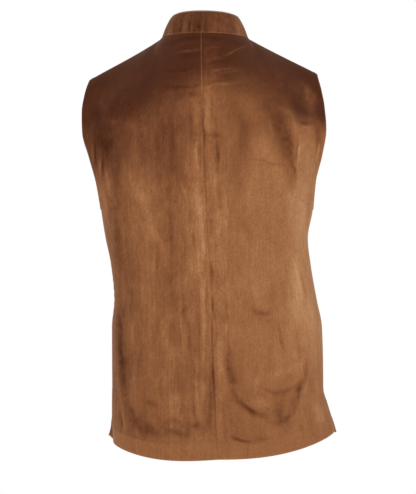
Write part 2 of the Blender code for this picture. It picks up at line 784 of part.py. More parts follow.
def main():
    """Build every piece of the jacket."""
    clear_scene()
    home = bpy.data.collections.new("nehru_jacket")
    bpy.context.scene.collection.children.link(home)
    make_panel("back", 1, "back_left", home)
    make_panel("back", -1, "back_right", home)
    _, left_rows = make_panel("front", 1, "front_left", home)
    make_panel("front", -1, "front_right", home)
    make_collar("collar", COLLAR_WALL, 0.0, SEAM_GAP / 2, 0.0, "collar_velvet", home)
    inset = COLLAR_WALL + SEAM_GAP
    make_collar("collar_inner", LINING_WALL, inset, COLLAR_INNER_START, COLLAR_LIP, "collar_cloth", home)
    place_buttons(left_rows, home)
    bpy.context.view_layer.update()


main()
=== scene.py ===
"""The looks of a sleeveless velvet jacket with a stand collar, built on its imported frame."""

import logging
import math
from dataclasses import dataclass, field
from enum import Enum
from typing import Any, Dict, List, Sequence, Tuple

import bmesh
import bpy
import numpy as np
from mathutils import Matrix, Vector


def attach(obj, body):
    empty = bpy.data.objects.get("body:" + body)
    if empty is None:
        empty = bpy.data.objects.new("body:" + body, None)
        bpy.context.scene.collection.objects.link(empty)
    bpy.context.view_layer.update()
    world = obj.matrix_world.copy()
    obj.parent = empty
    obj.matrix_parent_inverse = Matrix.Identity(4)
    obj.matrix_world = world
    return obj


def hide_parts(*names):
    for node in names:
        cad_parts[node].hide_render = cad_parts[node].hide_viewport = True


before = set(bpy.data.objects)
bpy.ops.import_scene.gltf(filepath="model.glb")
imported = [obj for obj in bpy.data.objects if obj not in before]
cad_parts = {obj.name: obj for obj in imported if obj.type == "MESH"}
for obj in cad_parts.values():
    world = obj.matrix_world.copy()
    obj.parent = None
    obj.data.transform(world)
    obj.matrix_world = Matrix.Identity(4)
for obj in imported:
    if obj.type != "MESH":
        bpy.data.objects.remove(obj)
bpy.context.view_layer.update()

LOG = logging.getLogger("jacket")
Colour = Tuple[float, float, float]
Seat = Tuple[np.ndarray, np.ndarray, np.ndarray]


class Face(Enum):
    """Which side of the body a panel covers."""

    BACK = "back"
    FRONT = "front"


class Side(Enum):
    """The wearer's left is +X and right is -X."""

    LEFT = 1
    RIGHT = -1


def clamp(value: Any, low: float = 0.0, high: float = 1.0) -> Any:
    """Keep a number or array between two limits."""
    return np.clip(value, low, high)


def soft_step(value: Any) -> Any:
    """Rise smoothly from 0 to 1 while the value goes from 0 to 1."""
    held = clamp(value)
    return held * held * (3.0 - 2.0 * held)


def near(distance: Any, reach: float) -> Any:
    """Fade from 1 at a line to 0 away from it."""
    return np.exp(-((distance / reach) ** 2))


def spread(points: np.ndarray, fractions: np.ndarray) -> np.ndarray:
    """Place points along a line at given fractions of its length.

    Args:
        points: The line, one point a row.
        fractions: Shares of the length, from 0 to 1.

    Returns:
        One point for each fraction.
    """
    steps = np.linalg.norm(np.diff(points, axis=0), axis=1)
    lengths = np.concatenate(([0.0], np.cumsum(steps)))
    targets = np.asarray(fractions) * lengths[-1]
    return np.stack([np.interp(targets, lengths, points[:, k]) for k in range(3)], axis=1)


@dataclass(frozen=True)
class Table:
    """A short table of sizes whose first column is the key."""

    columns: Tuple[str, ...]
    rows: Tuple[Tuple[float, ...], ...]

    def read(self, wanted: str, at: float) -> float:
        """Read one column smoothly at a value of the first column.

        Args:
            wanted: The column's name.
            at: Where to read it.

        Returns:
            The value there.
        """
        index = self.columns.index(wanted)
        keys = [row[0] for row in self.rows]
        values = [row[index] for row in self.rows]
        if at <= keys[0]:
            return values[0] + (values[1] - values[0]) / (keys[1] - keys[0]) * (at - keys[0])
        if at >= keys[-1]:
            return values[-1]
        low = 0
        while keys[low + 1] < at:
            low += 1
        span = keys[low + 1] - keys[low]
        t = (at - keys[low]) / span
        first = self._slope(keys, values, low) * span
        last = self._slope(keys, values, low + 1) * span
        return (
            (2 * t**3 - 3 * t**2 + 1) * values[low]
            + (t**3 - 2 * t**2 + t) * first
            + (3 * t**2 - 2 * t**3) * values[low + 1]
            + (t**3 - t**2) * last
        )

    @staticmethod
    def _slope(keys: List[float], values: List[float], i: int) -> float:
        """The slope of the smooth curve at one row.

        Args:
            keys: The first column.
            values: The column that is read.
            i: The row.

        Returns:
            The slope.
        """
        if i == 0:
            return (values[1] - values[0]) / (keys[1] - keys[0])
        if i == len(keys) - 1:
            return (values[-1] - values[-2]) / (keys[-1] - keys[-2])
        before = (values[i] - values[i - 1]) / (keys[i] - keys[i - 1])
        after = (values[i + 1] - values[i]) / (keys[i + 1] - keys[i])
        return 0.0 if before * after <= 0.0 else 2.0 * before * after / (before + after)


BODY = Table(
    ("height", "seam_x", "front_x", "left_x", "right_x", "back_y", "front_y"),
    (
        (-0.7000, -0.0218, -0.0130, 0.1515, -0.2260, 0.1340, -0.1400),
        (-0.6558, -0.0184, -0.0120, 0.1540, -0.2168, 0.1325, -0.1385),
        (-0.6339, -0.0174, -0.0115, 0.1556, -0.2108, 0.1315, -0.1380),
        (-0.6121, -0.0168, -0.0108, 0.1556, -0.2048, 0.1305, -0.1370),
        (-0.5880, -0.0155, -0.0103, 0.1554, -0.1982, 0.1292, -0.1359),
        (-0.5419, -0.0131, -0.0092, 0.1557, -0.1978, 0.1260, -0.1340),
        (-0.4836, -0.0113, -0.0076, 0.1558, -0.1960, 0.1215, -0.1315),
        (-0.4380, -0.0108, -0.0060, 0.1510, -0.1873, 0.1165, -0.1300),
        (-0.3786, -0.0086, -0.0042, 0.1574, -0.1770, 0.1105, -0.1295),
        (-0.3356, -0.0048, -0.0030, 0.1665, -0.1724, 0.1095, -0.1310),
        (-0.2880, -0.0020, -0.0018, 0.1740, -0.1806, 0.1155, -0.1355),
        (-0.2400, -0.0005, -0.0008, 0.1800, -0.1850, 0.1220, -0.1385),
        (-0.1940, 0.0012, 0.0000, 0.1800, -0.1850, 0.1260, -0.1375),
        (-0.1500, 0.0022, 0.0000, 0.1800, -0.1850, 0.1255, -0.1270),
        (-0.1100, 0.0034, 0.0000, 0.1800, -0.1850, 0.1190, -0.1080),
        (-0.0720, 0.0040, 0.0000, 0.1800, -0.1850, 0.1070, -0.0820),
        (-0.0360, 0.0045, 0.0000, 0.1800, -0.1850, 0.0920, -0.0820),
        (0.0012, 0.0049, 0.0000, 0.1800, -0.1850, 0.0750, -0.0820),
    ),
)

ARMHOLE = Table(
    ("climb", "height", "left_x", "right_x", "back_y", "front_y"),
    (
        (0.00, -0.2880, 0.1740, -0.1806, 0.0000, 0.0000),
        (0.07, -0.2860, 0.1745, -0.1810, 0.0160, -0.0180),
        (0.16, -0.2740, 0.1758, -0.1814, 0.0330, -0.0390),
        (0.30, -0.2440, 0.1804, -0.1836, 0.0480, -0.0580),
        (0.46, -0.2020, 0.1916, -0.1938, 0.0550, -0.0660),
        (0.62, -0.1620, 0.2026, -0.2004, 0.0530, -0.0630),
        (0.77, -0.1260, 0.2040, -0.1980, 0.0440, -0.0510),
        (0.88, -0.0955, 0.2001, -0.1930, 0.0310, -0.0350),
        (0.95, -0.0775, 0.1955, -0.1890, 0.0180, -0.0200),
        (0.985, -0.0703, 0.1932, -0.1880, 0.0060, -0.0066),
        (1.00, -0.0694, 0.1922, -0.1876, 0.0000, 0.0000),
    ),
)


def drift(x: np.ndarray, z: np.ndarray, size: float, seed: int) -> np.ndarray:
    """A smooth random field, for marks that are never quite even.

    Args:
        x: Places across.
        z: Places up.
        size: The width of its lumps in metres.
        seed: Which field it is.

    Returns:
        Values from -1 to 1.
    """
    cells = 256
    lattice = np.random.default_rng(seed).uniform(-1.0, 1.0, (cells, cells))
    across = x / size + 100.0
    up = z / size + 120.0
    column = np.floor(across).astype(int)
    row = np.floor(up).astype(int)
    share = soft_step(across - column)
    rise = soft_step(up - row)
    column, row = column % (cells - 1), row % (cells - 1)
    low = lattice[column, row] * (1 - share) + lattice[column + 1, row] * share
    high = lattice[column, row + 1] * (1 - share) + lattice[column + 1, row + 1] * share
    return low * (1 - rise) + high * rise


@dataclass(frozen=True)
class MarkScale:
    """Turns places on a square-on drawing of the back into metres."""

    step: float = 0.001613
    middle_u: float = 205.0
    middle_v: float = 247.0
    middle_height: float = -0.350

    def metres(self, u: float, v: float) -> Tuple[float, float]:
        """X and Z of a place across the drawing, to the wearer's right, and down it."""
        x = (self.middle_u - u) * self.step
        return x, self.middle_height + (self.middle_v - v) * self.step

    def drawing(self, grid: np.ndarray) -> Tuple[np.ndarray, np.ndarray]:
        """How far across and how far down the drawing each point of a grid lies."""
        u = self.middle_u - grid[..., 0] / self.step
        return u, self.middle_v - (grid[..., 2] - self.middle_height) / self.step


@dataclass(frozen=True)
class Stroke:
    """A soft line through three places, such as a fold, a brushed mark or a line of painted shade
    or highlight.
    """

    u1: float
    v1: float
    u2: float
    v2: float
    u3: float
    v3: float
    width: float
    amount: float

    def spread_over(self, x: np.ndarray, z: np.ndarray, scale: MarkScale) -> np.ndarray:
        """The stroke's strength at each place.

        Args:
            x: Places across.
            z: Places up.
            scale: How the drawing is placed.

        Returns:
            The amount at each place, fading to 0 outside the stroke.
        """
        places = [(self.u1, self.v1), (self.u2, self.v2), (self.u3, self.v3)]
        a, b, c = [np.array(scale.metres(u, v)) for u, v in places]
        nearest = np.full(x.shape, 1.0)
        along = np.zeros(x.shape)
        for t in np.linspace(0.0, 1.0, 33):
            place = 2 * (t - 0.5) * (t - 1) * a + 4 * t * (1 - t) * b + 2 * t * (t - 0.5) * c
            gap = np.hypot(x - place[0], z - place[1])
            closer = gap < nearest
            nearest = np.where(closer, gap, nearest)
            along = np.where(closer, t, along)
        taper = np.sin(np.pi * clamp(along, 0.05, 0.95)) ** 0.6
        reach = self.width * scale.step
        return self.amount * taper * near(nearest, reach)


def strokes(*rows: Sequence[float]) -> Tuple[Stroke, ...]:
    """Make a stroke from each row of three places, a half width and an amount."""
    return tuple(Stroke(*row) for row in rows)


# Folds: three places, half width in drawing steps and height in metres
BACK_FOLDS = strokes(
    (117, 173, 116, 297, 125, 430, 5.2, 0.0026),
    (125, 321, 124, 390, 121, 427, 5.0, -0.0022),
    (284, 104, 298, 135, 297, 188, 5.4, 0.0028),
    (274, 117, 288, 147, 296, 179, 5.4, -0.0026),
    (230, 370, 262, 415, 305, 380, 7.4, 0.0030),
    (233, 352, 263, 392, 298, 362, 8.6, -0.0024),
    (120, 395, 145, 426, 180, 437, 7.4, -0.0026),
    (186, 303, 188, 377, 187, 445, 5.2, -0.0018),
    (171, 216, 171, 272, 174, 328, 6.2, -0.0016),
    (243, 216, 247, 278, 242, 340, 7.4, -0.0014),
    (165, 86, 190, 86.5, 203, 81.5, 1.8, -0.0012),
    (203, 87, 222, 84, 240, 80, 1.7, 0.0011),
    (165, 70, 185, 69.5, 201, 67.5, 2.2, -0.0009),
    (206, 69, 222, 67.5, 236, 66, 1.7, 0.0009),
    (223, 53.5, 236, 48, 247, 42, 2.0, 0.0012),
    (224, 57, 238, 52, 250, 46, 2.2, -0.0008),
    (176, 51.5, 188, 50, 201, 47.5, 2.0, 0.0008),
    (90, 143, 90.5, 152, 92, 162, 1.7, 0.0013),
    (97, 155, 98, 164, 100, 175, 1.8, 0.0014),
    (93.5, 140, 94, 152, 95, 167, 1.5, -0.0012),
    (101, 152, 101.5, 164, 103, 178, 1.8, -0.0013),
    (105, 168, 107, 186, 109, 212, 2.6, 0.0012),
    (117, 311, 120, 354, 123.5, 388, 2.6, -0.0019),
    (115.6, 343, 118, 387, 124.5, 429, 1.7, 0.0012),
    (119, 416, 121, 424, 123, 431, 1.5, -0.0010),
    (233, 435.5, 246, 442.5, 262, 441, 1.8, -0.0016),
    (247.6, 442, 247, 449, 246, 456, 1.1, -0.0008),
    (264, 415, 283, 420, 300, 392, 3.4, -0.0014),
    (304, 396, 309, 384, 313, 368, 2.0, 0.0008),
    (218, 400, 223, 418, 228, 436, 6.5, 0.0010),
    (314, 126, 318, 134, 319, 144, 2.6, -0.0012),
    (192, 396, 195, 418, 196, 438, 1.9, -0.0009),
    (215.5, 33, 217, 137, 218, 242, 1.4, 0.0004),
)
FRONT_FOLDS = strokes(
    (118, 179, 119.5, 290, 125, 433, 5.6, 0.0024),
    (295, 185, 298, 297, 302, 427, 5.8, 0.0026),
    (132, 114, 118, 142, 117, 176, 5.6, -0.0024),
    (276, 110, 290, 139, 293, 179, 5.8, -0.0026),
    (158.5, 315, 162, 377, 160, 445, 7.4, -0.0020),
    (256, 303, 259.5, 371, 258, 445, 7.4, -0.0022),
    (184.5, 222, 161.5, 241, 135.5, 250, 6.8, -0.0016),
    (230, 228, 254.5, 244, 280.5, 247, 6.8, -0.0016),
    (150, 62, 141, 78, 133, 99, 3.0, 0.0010),
    (258, 60, 268, 76, 277, 98, 3.2, 0.0011),
    (200, 95, 178, 108, 150, 113, 3.4, -0.0009),
    (210, 97, 236, 112, 262, 116, 3.2, -0.0010),
    (196, 280, 180, 292, 166, 298, 3.2, 0.0009),
    (216, 300, 236, 316, 256, 320, 3.4, 0.0010),
    (126, 395, 150, 424, 184, 436, 6.4, -0.0018),
    (232, 372, 262, 412, 300, 384, 6.8, 0.0018),
    (97, 150, 98, 165, 101, 180, 2.0, 0.0012),
    (311, 150, 309, 166, 306, 182, 2.0, 0.0012),
)

# Marks in the pile's tone: three places, half width in drawing steps and tone. Those on the
# front, and some on the back, follow the folds as painted shade in their troughs and painted
# highlights on their ridges; the rest, like those on the collar, are brushed streaks in the pile
BACK_MARKS = strokes(
    # Below the collar, with painted highlights and shade on its wrinkles and a painted shadow
    # under the collar seam
    (223.8, 53, 236, 48, 248, 41.5, 1.1, 0.24),
    (218, 40, 224, 37.5, 231, 36.5, 1.1, 0.10),
    (176.5, 51.4, 188, 50, 200.5, 47.3, 1.3, 0.10),
    # Painted shadow just below the collar seam
    (161, 41, 201, 35.5, 247, 41, 2.0, -0.10),
    (210, 69, 222, 67.5, 234, 66.3, 1.0, 0.17),
    (165, 69.7, 182, 69.5, 200, 68, 2.2, -0.06),
    (167, 87, 187, 87, 202, 82, 1.8, -0.15),
    (203, 87, 222, 84, 240, 80.4, 1.2, 0.18),
    (204, 83, 220, 80, 236, 77, 1.5, -0.08),
    (212, 36, 213, 62, 212, 86, 8.0, 0.10),
    (206, 36, 206, 62, 206, 84, 2.4, 0.07),
    (250, 58, 276, 76, 304, 98, 13.0, 0.10),
    (222, 66, 250, 78, 280, 104, 8.0, 0.06),
    (92, 92, 104, 90, 120, 84, 6.0, 0.06),
    (177, 51.6, 188, 50.2, 200.5, 47.6, 1.0, 0.09),
    (178, 55, 189, 53.6, 200, 51.4, 1.2, -0.07),
    (170, 44.5, 184, 42.5, 200, 40.5, 0.9, 0.07),
    (182, 60.5, 192, 59.4, 201, 57.6, 0.9, 0.07),
    (166, 73, 184, 71.6, 200, 69.4, 0.9, 0.09),
    (206, 47, 214, 45.6, 222, 44, 0.9, 0.08),
    (208, 58, 218, 57, 228, 54.6, 0.9, 0.07),
    (208, 61, 218, 60, 229, 57.4, 1.0, -0.07),
    (216, 72, 228, 71, 241, 68.8, 0.9, 0.10),
    (216, 76, 228, 75, 241, 72.8, 1.1, -0.06),
    (172, 92, 186, 91, 200, 87, 1.0, 0.06),
    # Either side of the centre seam, upper half
    (186, 93, 193, 94, 200, 92, 3.6, -0.12),
    (195, 100, 196, 115, 197, 131, 2.8, 0.12),
    (191.5, 104, 191.5, 122, 192.5, 142, 1.4, -0.10),
    (206.5, 92, 208, 112, 210, 140, 3.0, 0.13),
    (212, 96, 212, 108, 212, 118, 1.2, -0.13),
    (203.4, 114, 203.6, 130, 204.2, 152, 1.2, -0.20),
    (204.2, 142, 205.6, 180, 206.8, 228, 1.0, -0.13),
    (196.4, 139, 196, 152, 196.8, 168, 1.9, 0.20),
    (197, 165, 197.6, 185, 198.5, 200, 1.4, 0.10),
    (196.5, 193, 199.5, 216, 201.5, 236, 3.4, 0.17),
    (201, 233, 203.6, 244, 205, 256, 1.9, 0.17),
    (198.4, 250, 198.6, 262, 199.8, 276, 1.4, 0.13),
    (192.5, 231, 193.4, 240, 195, 250, 1.2, -0.16),
    (213.5, 135, 216, 136.5, 219, 138, 3.0, -0.28),
    (217.6, 141, 217.8, 155, 218, 170, 1.4, -0.26),
    (171, 118, 172, 148, 173, 178, 3.2, -0.10),
    (188, 118, 189, 145, 190, 176, 4.4, 0.05),
    (168, 180, 170, 210, 171, 242, 2.2, -0.10),
    (180, 181, 183, 189, 189, 196, 1.6, 0.08),
    (214.6, 172, 215.2, 181, 215, 190, 1.0, 0.14),
    (218.6, 176, 219.8, 198, 219, 226, 2.2, -0.08),
    (225, 192, 226.4, 210, 228, 238, 1.8, 0.10),
    (222, 116, 224.5, 122, 227, 126, 2.6, 0.08),
    (210.6, 190, 212, 212, 213, 234, 4.0, -0.16),
    (231, 118, 232, 140, 231, 162, 8.0, 0.07),
    # Either side of the centre seam, lower half, with painted shade in its folds' troughs,
    # deepest in the crease above the hem
    (210.4, 262, 211.4, 272, 212.2, 284, 1.2, -0.22),
    (210.8, 292, 211.4, 306, 212, 322, 0.9, 0.12),
    (213, 294, 213.6, 306, 214.8, 319, 1.2, -0.24),
    (212, 324, 212, 334, 212.2, 344, 1.1, -0.15),
    (212.2, 357, 213.4, 376, 215, 398, 1.6, -0.20),
    (209, 360, 210.4, 396, 210, 432, 3.8, -0.13),
    (203.4, 282, 203.8, 312, 204.4, 346, 2.7, 0.16),
    (206.8, 280, 207.4, 312, 208, 350, 0.9, -0.10),
    (198.6, 344, 199, 378, 200, 424, 1.0, -0.09),
    (203.6, 347, 204, 357, 204.2, 366, 1.5, 0.13),
    (199.4, 282, 199.2, 330, 201.6, 372, 0.9, -0.12),
    (219.6, 318, 220.4, 366, 221, 434, 3.2, 0.10),
    (224, 326, 226, 328, 227, 345, 1.5, 0.06),
    (225.4, 296, 226.2, 308, 227.6, 322, 1.3, -0.13),
    (228.6, 328, 228.2, 352, 229, 386, 0.9, -0.17),
    (228.5, 356, 232, 374, 236, 398, 4.6, -0.22),
    # Painted shade in the crease above the hem
    (232.6, 434.8, 246, 442, 264, 441, 1.7, -0.44),
    (250, 437, 262, 439, 274, 440, 2.2, -0.10),
    (236, 441, 248, 446, 262, 445, 1.5, 0.09),
    (190, 428, 196, 425, 202, 431, 4.6, -0.20),
    (197, 384, 197.8, 402, 199.4, 418, 1.2, 0.17),
    (193, 396, 194.6, 412, 195.6, 430, 1.0, -0.16),
    (187, 318, 189.4, 336, 190.2, 352, 2.0, -0.20),
    (184, 290, 183, 306, 184, 322, 2.4, -0.12),
    (181, 290, 181.4, 318, 182.6, 345, 1.0, 0.09),
    (191, 350, 193.4, 372, 194, 392, 2.0, -0.10),
    (170, 400, 176, 398, 186, 404, 5.0, 0.09),
    (162, 426, 172, 420, 188, 424, 2.6, -0.14),
    (164, 434, 178, 432, 194, 437, 3.0, -0.13),
    (171, 216, 171.6, 272, 174, 330, 2.4, -0.09),
    (166, 316, 168, 350, 172, 384, 9.0, 0.08),
    (170, 232, 172, 246, 172, 264, 4.6, -0.10),
    # Wearer's left shoulder blade and armhole, with painted highlights and shade on the wrinkles
    # by the armhole
    (103, 119, 110, 120, 117, 121, 3.6, 0.09),
    (92, 98, 100, 102, 106, 108, 2.8, 0.06),
    (124, 118, 134, 126, 146, 128, 5.0, 0.07),
    (93, 106, 95, 115, 97, 124, 4.4, -0.10),
    (96, 128, 104, 142, 116, 136, 6.0, -0.12),
    (104, 142, 106, 152, 109, 164, 5.0, -0.14),
    (112, 172, 114.5, 215, 118, 262, 3.0, -0.12),
    (122, 196, 122.6, 230, 124, 264, 1.3, 0.07),
    (89.8, 145, 90.4, 152, 91.6, 161, 1.3, 0.18),
    (97.3, 157, 98, 165, 99.2, 174, 1.4, 0.22),
    (104.7, 168, 106, 178, 108, 192, 2.2, 0.16),
    (93.4, 139, 94, 152, 94.6, 167, 1.2, -0.16),
    (100.8, 153, 101, 164, 101.8, 177, 1.5, -0.18),
    (101, 182, 103, 212, 107, 245, 2.4, 0.08),
    (116, 150, 117, 175, 118, 212, 3.2, -0.10),
    (127, 172, 133, 182, 139, 202, 4.6, 0.08),
    (147, 150, 148, 168, 150, 186, 3.0, 0.05),
    (156, 120, 158, 150, 160, 190, 3.4, -0.06),
    # Wearer's right shoulder blade and armhole, with painted shade and highlights on its folds
    # and a painted highlight along the armhole edge
    (232, 92, 248, 104, 262, 112, 12.0, 0.05),
    (241, 118, 243, 128, 245, 138, 4.6, -0.10),
    (250, 132, 254, 142, 257, 152, 4.0, 0.06),
    (252, 160, 268, 161.5, 286, 165, 1.0, -0.16),
    (242, 142, 243, 150, 244, 159, 4.0, -0.07),
    (281, 104, 291, 113, 297, 129, 2.0, 0.17),
    (299.6, 128, 300, 150, 298.6, 172, 1.2, 0.16),
    (268, 108, 283, 132, 293, 182, 6.6, -0.16),
    (288, 128, 291.5, 146, 294.6, 176, 2.6, -0.11),
    (304, 128, 305, 145, 308, 168, 5.2, 0.12),
    (298, 119, 306, 120.5, 315, 120, 2.6, -0.20),
    (298, 78, 311, 92, 317, 113, 7.0, 0.13),
    (306, 78, 314, 104, 313, 166, 5.4, 0.14),
    (316.5, 122, 319, 132, 320, 143, 3.4, -0.24),
    # Painted highlight along the armhole edge
    (322, 138, 320.6, 149, 318.4, 161, 0.9, 0.24),
    (305, 176, 304, 206, 302, 242, 5.6, 0.07),
    (314, 176, 311, 206, 306, 242, 2.4, -0.07),
    (293, 160, 295.4, 169, 297, 179, 1.6, -0.15),
    (297.6, 140, 298, 158, 297.6, 174, 0.9, -0.12),
    (301, 124.6, 307, 124, 313, 124.4, 1.6, 0.12),
    (269, 118, 271.4, 126, 273, 137, 1.6, 0.09),
    (192, 135.2, 206, 135.8, 219, 136.8, 0.9, -0.11),
    (174.6, 168, 174, 178, 178, 189, 1.1, 0.09),
    # Lower left, with painted shade and highlights along the folds
    (117, 308, 119.4, 354, 122.8, 389, 2.6, -0.18),
    (115.4, 340, 118, 387, 124.6, 430, 1.2, 0.17),
    (118.8, 415, 120.4, 423, 122.6, 431, 1.2, -0.18),
    (112.4, 300, 112.2, 350, 112, 400, 4.6, -0.09),
    (104, 178, 110, 232, 115, 290, 5.0, -0.14),
    (119, 300, 120, 348, 121, 394, 4.4, -0.15),
    (128, 270, 130, 286, 131, 302, 5.0, -0.08),
    (128, 300, 131, 336, 136, 372, 3.0, 0.07),
    (137, 258, 137, 300, 138, 350, 5.0, -0.08),
    (125.4, 405, 140, 428, 166, 430, 4.8, -0.12),
    (124, 352, 126, 378, 127, 404, 3.4, -0.11),
    (116, 296, 120, 318, 126, 342, 1.3, 0.10),
    (165, 428, 182, 430, 203, 430, 8.0, -0.08),
    (128, 409, 130, 413, 134, 419, 2.6, -0.16),
    (135, 417, 143, 425, 152, 431, 5.0, -0.16),
    (146, 400, 152, 404, 161, 407, 3.4, -0.18),
    (121, 398, 126, 396, 130, 393, 1.0, -0.14),
    # Lower right, with painted shade in the troughs of the drag folds and crease and a painted
    # highlight on a small ridge
    (243, 340, 241, 372, 243, 398, 3.6, -0.08),
    (233, 390, 240, 402, 250, 411, 3.0, -0.20),
    (244, 404, 254, 413, 267, 416.5, 2.2, -0.28),
    (264, 416, 286, 421, 302, 386, 2.8, -0.17),
    (290, 410, 300, 392, 308, 374, 3.0, -0.20),
    (294, 394, 299, 390, 303, 383, 2.6, -0.16),
    (276, 398, 279, 410, 282, 425, 6.0, -0.10),
    (276, 412, 281, 419, 289, 424, 3.2, -0.12),
    (250, 400, 262, 404, 280, 404, 5.0, 0.08),
    (261, 386, 280, 392, 301, 384, 2.0, -0.18),
    (253, 310, 262, 314.5, 270, 313, 2.6, -0.27),
    (258, 318, 266, 322, 274, 320, 2.4, -0.07),
    (279, 324, 281, 340, 286, 352, 2.0, -0.14),
    (247.8, 443, 247.4, 450, 247, 459, 1.0, -0.26),
    (312, 296, 314, 322, 317, 346, 3.0, 0.08),
    (296, 262, 300, 290, 300, 318, 6.0, 0.06),
    (318, 380, 322, 404, 328, 426, 4.0, 0.06),
    (304.4, 396, 308, 384, 312, 369, 1.2, 0.12),
    (300, 425, 301, 428, 303, 431, 1.9, -0.10),
    (305, 352, 308, 372, 312, 392, 4.4, -0.10),
    (297, 326, 298, 342, 299, 360, 6.0, -0.11),
    (255, 276, 257, 290, 257, 306, 6.0, 0.06),
    (317, 402, 321, 418, 324, 434, 5.0, 0.12),
    (240, 218, 248, 234, 256, 250, 5.0, -0.07),
    (260, 379, 288, 372, 313, 357, 3.6, 0.06),
    (256, 392, 258, 381, 262, 366, 2.2, 0.09),
    (276.6, 322, 278, 336, 279.6, 348, 1.0, 0.08),
    (296, 262, 300, 280, 305, 297, 1.4, 0.12),
    (300.6, 268, 304.6, 284, 308, 299, 1.3, -0.11),
    # Impression of the turned up hem, darkened as painted shade along its step
    (120, 434, 146, 441, 200, 443.6, 1.0, -0.08),
    (200, 443.6, 268, 444, 312, 433, 1.0, -0.07),
)
COLLAR_MARKS = strokes(
    (176, 16, 176, 24, 175, 33, 3.0, -0.10),
    (177, 18, 178, 21, 178, 25, 1.6, 0.12),
    (184.5, 14, 184.5, 22, 185, 31, 1.8, 0.14),
    (181, 15, 180, 24, 179, 31, 1.6, -0.16),
    (189, 14, 190, 23, 189, 32, 1.6, -0.18),
    (194, 15, 194, 22, 194, 31, 1.5, -0.14),
    (192, 15, 192, 22, 192, 30, 1.0, 0.10),
    (199, 13, 199, 22, 199.5, 31, 2.4, -0.15),
    (206, 14, 206, 23, 206, 32, 2.6, -0.13),
    (203, 16, 203, 23, 203, 30, 1.0, 0.08),
    (214, 16, 214, 24, 214, 32, 5.0, 0.07),
    (224, 16, 225, 24, 226, 32, 4.0, 0.08),
    (170, 20, 168, 28, 166, 36, 2.2, 0.10),
    (236, 18, 239, 27, 243, 36, 2.2, 0.08),
    (233, 17, 235, 25, 237, 33, 1.4, -0.09),
)
# On the front: painted shade in the folds' troughs and painted highlights on their ridges
FRONT_MARKS = strokes(
    (112, 166, 113, 220, 120, 300, 4.0, 0.10),
    (124, 300, 124, 350, 128, 400, 3.4, -0.16),
    (128, 112, 118, 140, 116, 176, 4.4, -0.15),
    (278, 112, 291, 139, 294, 178, 4.4, -0.15),
    (300, 170, 302, 240, 304, 320, 5.0, 0.10),
    (158, 320, 161, 376, 160, 440, 5.0, -0.10),
    (256, 306, 259, 370, 258, 440, 5.0, -0.10),
    (182, 224, 161, 241, 138, 249, 4.0, -0.08),
    (232, 230, 254, 244, 278, 247, 4.0, -0.08),
    (150, 62, 141, 78, 133, 99, 2.2, 0.10),
    (258, 60, 268, 76, 277, 98, 2.2, 0.10),
    (196, 280, 180, 292, 166, 298, 2.4, 0.09),
    (216, 300, 236, 316, 256, 320, 2.4, 0.09),
    (126, 395, 150, 424, 184, 436, 5.0, -0.10),
    (232, 366, 262, 406, 300, 378, 4.0, -0.11),
    (176, 130, 178, 160, 180, 200, 8.0, 0.06),
    (236, 130, 234, 170, 232, 210, 8.0, 0.06),
)

# Where the dark of the shoulders ends and how light the pile lies below it: partly the pile's
# brushing, partly painted shade at the shoulders and painted sheen toward the sides
SHADE = Table(
    ("across", "dark_v", "mid_v", "light_v", "mid", "light", "low"),
    (
        (80.0, 112.0, 152.0, 190.0, 0.32, 0.62, 0.62),
        (104.0, 112.0, 152.0, 196.0, 0.28, 0.64, 0.60),
        (121.0, 94.0, 142.0, 200.0, 0.33, 0.52, 0.52),
        (142.0, 84.0, 140.0, 200.0, 0.46, 0.66, 0.54),
        (172.0, 66.0, 112.0, 280.0, 0.44, 0.62, 0.65),
        (206.0, 56.0, 102.0, 205.0, 0.62, 0.69, 0.64),
        (240.0, 58.0, 102.0, 250.0, 0.50, 0.72, 0.64),
        (262.0, 62.0, 118.0, 150.0, 0.52, 0.73, 0.67),
        (285.0, 78.0, 128.0, 190.0, 0.50, 0.77, 0.64),
        (299.0, 104.0, 128.0, 220.0, 0.66, 0.88, 0.69),
        (325.0, 112.0, 134.0, 205.0, 0.60, 0.86, 0.70),
    ),
)


@dataclass(frozen=True)
class Hem:
    """How one panel's hem rises to its side and how far its vent stands open."""

    height: float
    lift: float
    power: float
    dip: float
    gap: float
    flare: float = 0.0
    flare_power: float = 1.0


HEMS = {
    (Face.BACK, Side.LEFT): Hem(-0.6915, 0.0160, 3.0, 0.0038, 0.010),
    (Face.BACK, Side.RIGHT): Hem(-0.6915, 0.0355, 2.4, 0.0, 0.010),
    (Face.FRONT, Side.LEFT): Hem(-0.6900, 0.0228, 20.0, 0.0038, -0.012, 0.028, 3.2),
    (Face.FRONT, Side.RIGHT): Hem(-0.6900, 0.0280, 4.5, 0.0, -0.012, -0.0042),
}


@dataclass(frozen=True)
class Neckline:
    """The line round the neck, where the panels end and the collar starts."""

    half_width: float = 0.0725
    back: float = 0.0750
    front: float = 0.0820
    rise: float = 0.0012
    drop: float = 0.0720
    seam_shift: float = 0.0049

    def points(self, turns: np.ndarray) -> np.ndarray:
        """Points of the neckline: 0 at the back, 90 at the left side, 180 in front.

        Args:
            turns: Angles in degrees, negative on the wearer's right.

        Returns:
            One point for each angle.
        """
        turns = np.asarray(turns, dtype=float)
        angle = np.radians(np.abs(turns))
        side = np.where(turns >= 0, 1.0, -1.0)
        behind = angle <= np.pi / 2
        cosine = np.cos(angle)
        x = side * self.half_width * np.sin(angle)
        x = x + np.where(behind, self.seam_shift * cosine**2, 0.0)
        y = np.where(behind, self.back, self.front) * cosine
        z = np.where(behind, self.rise, -self.drop) * cosine**2
        return np.stack([x, y, z], axis=-1)


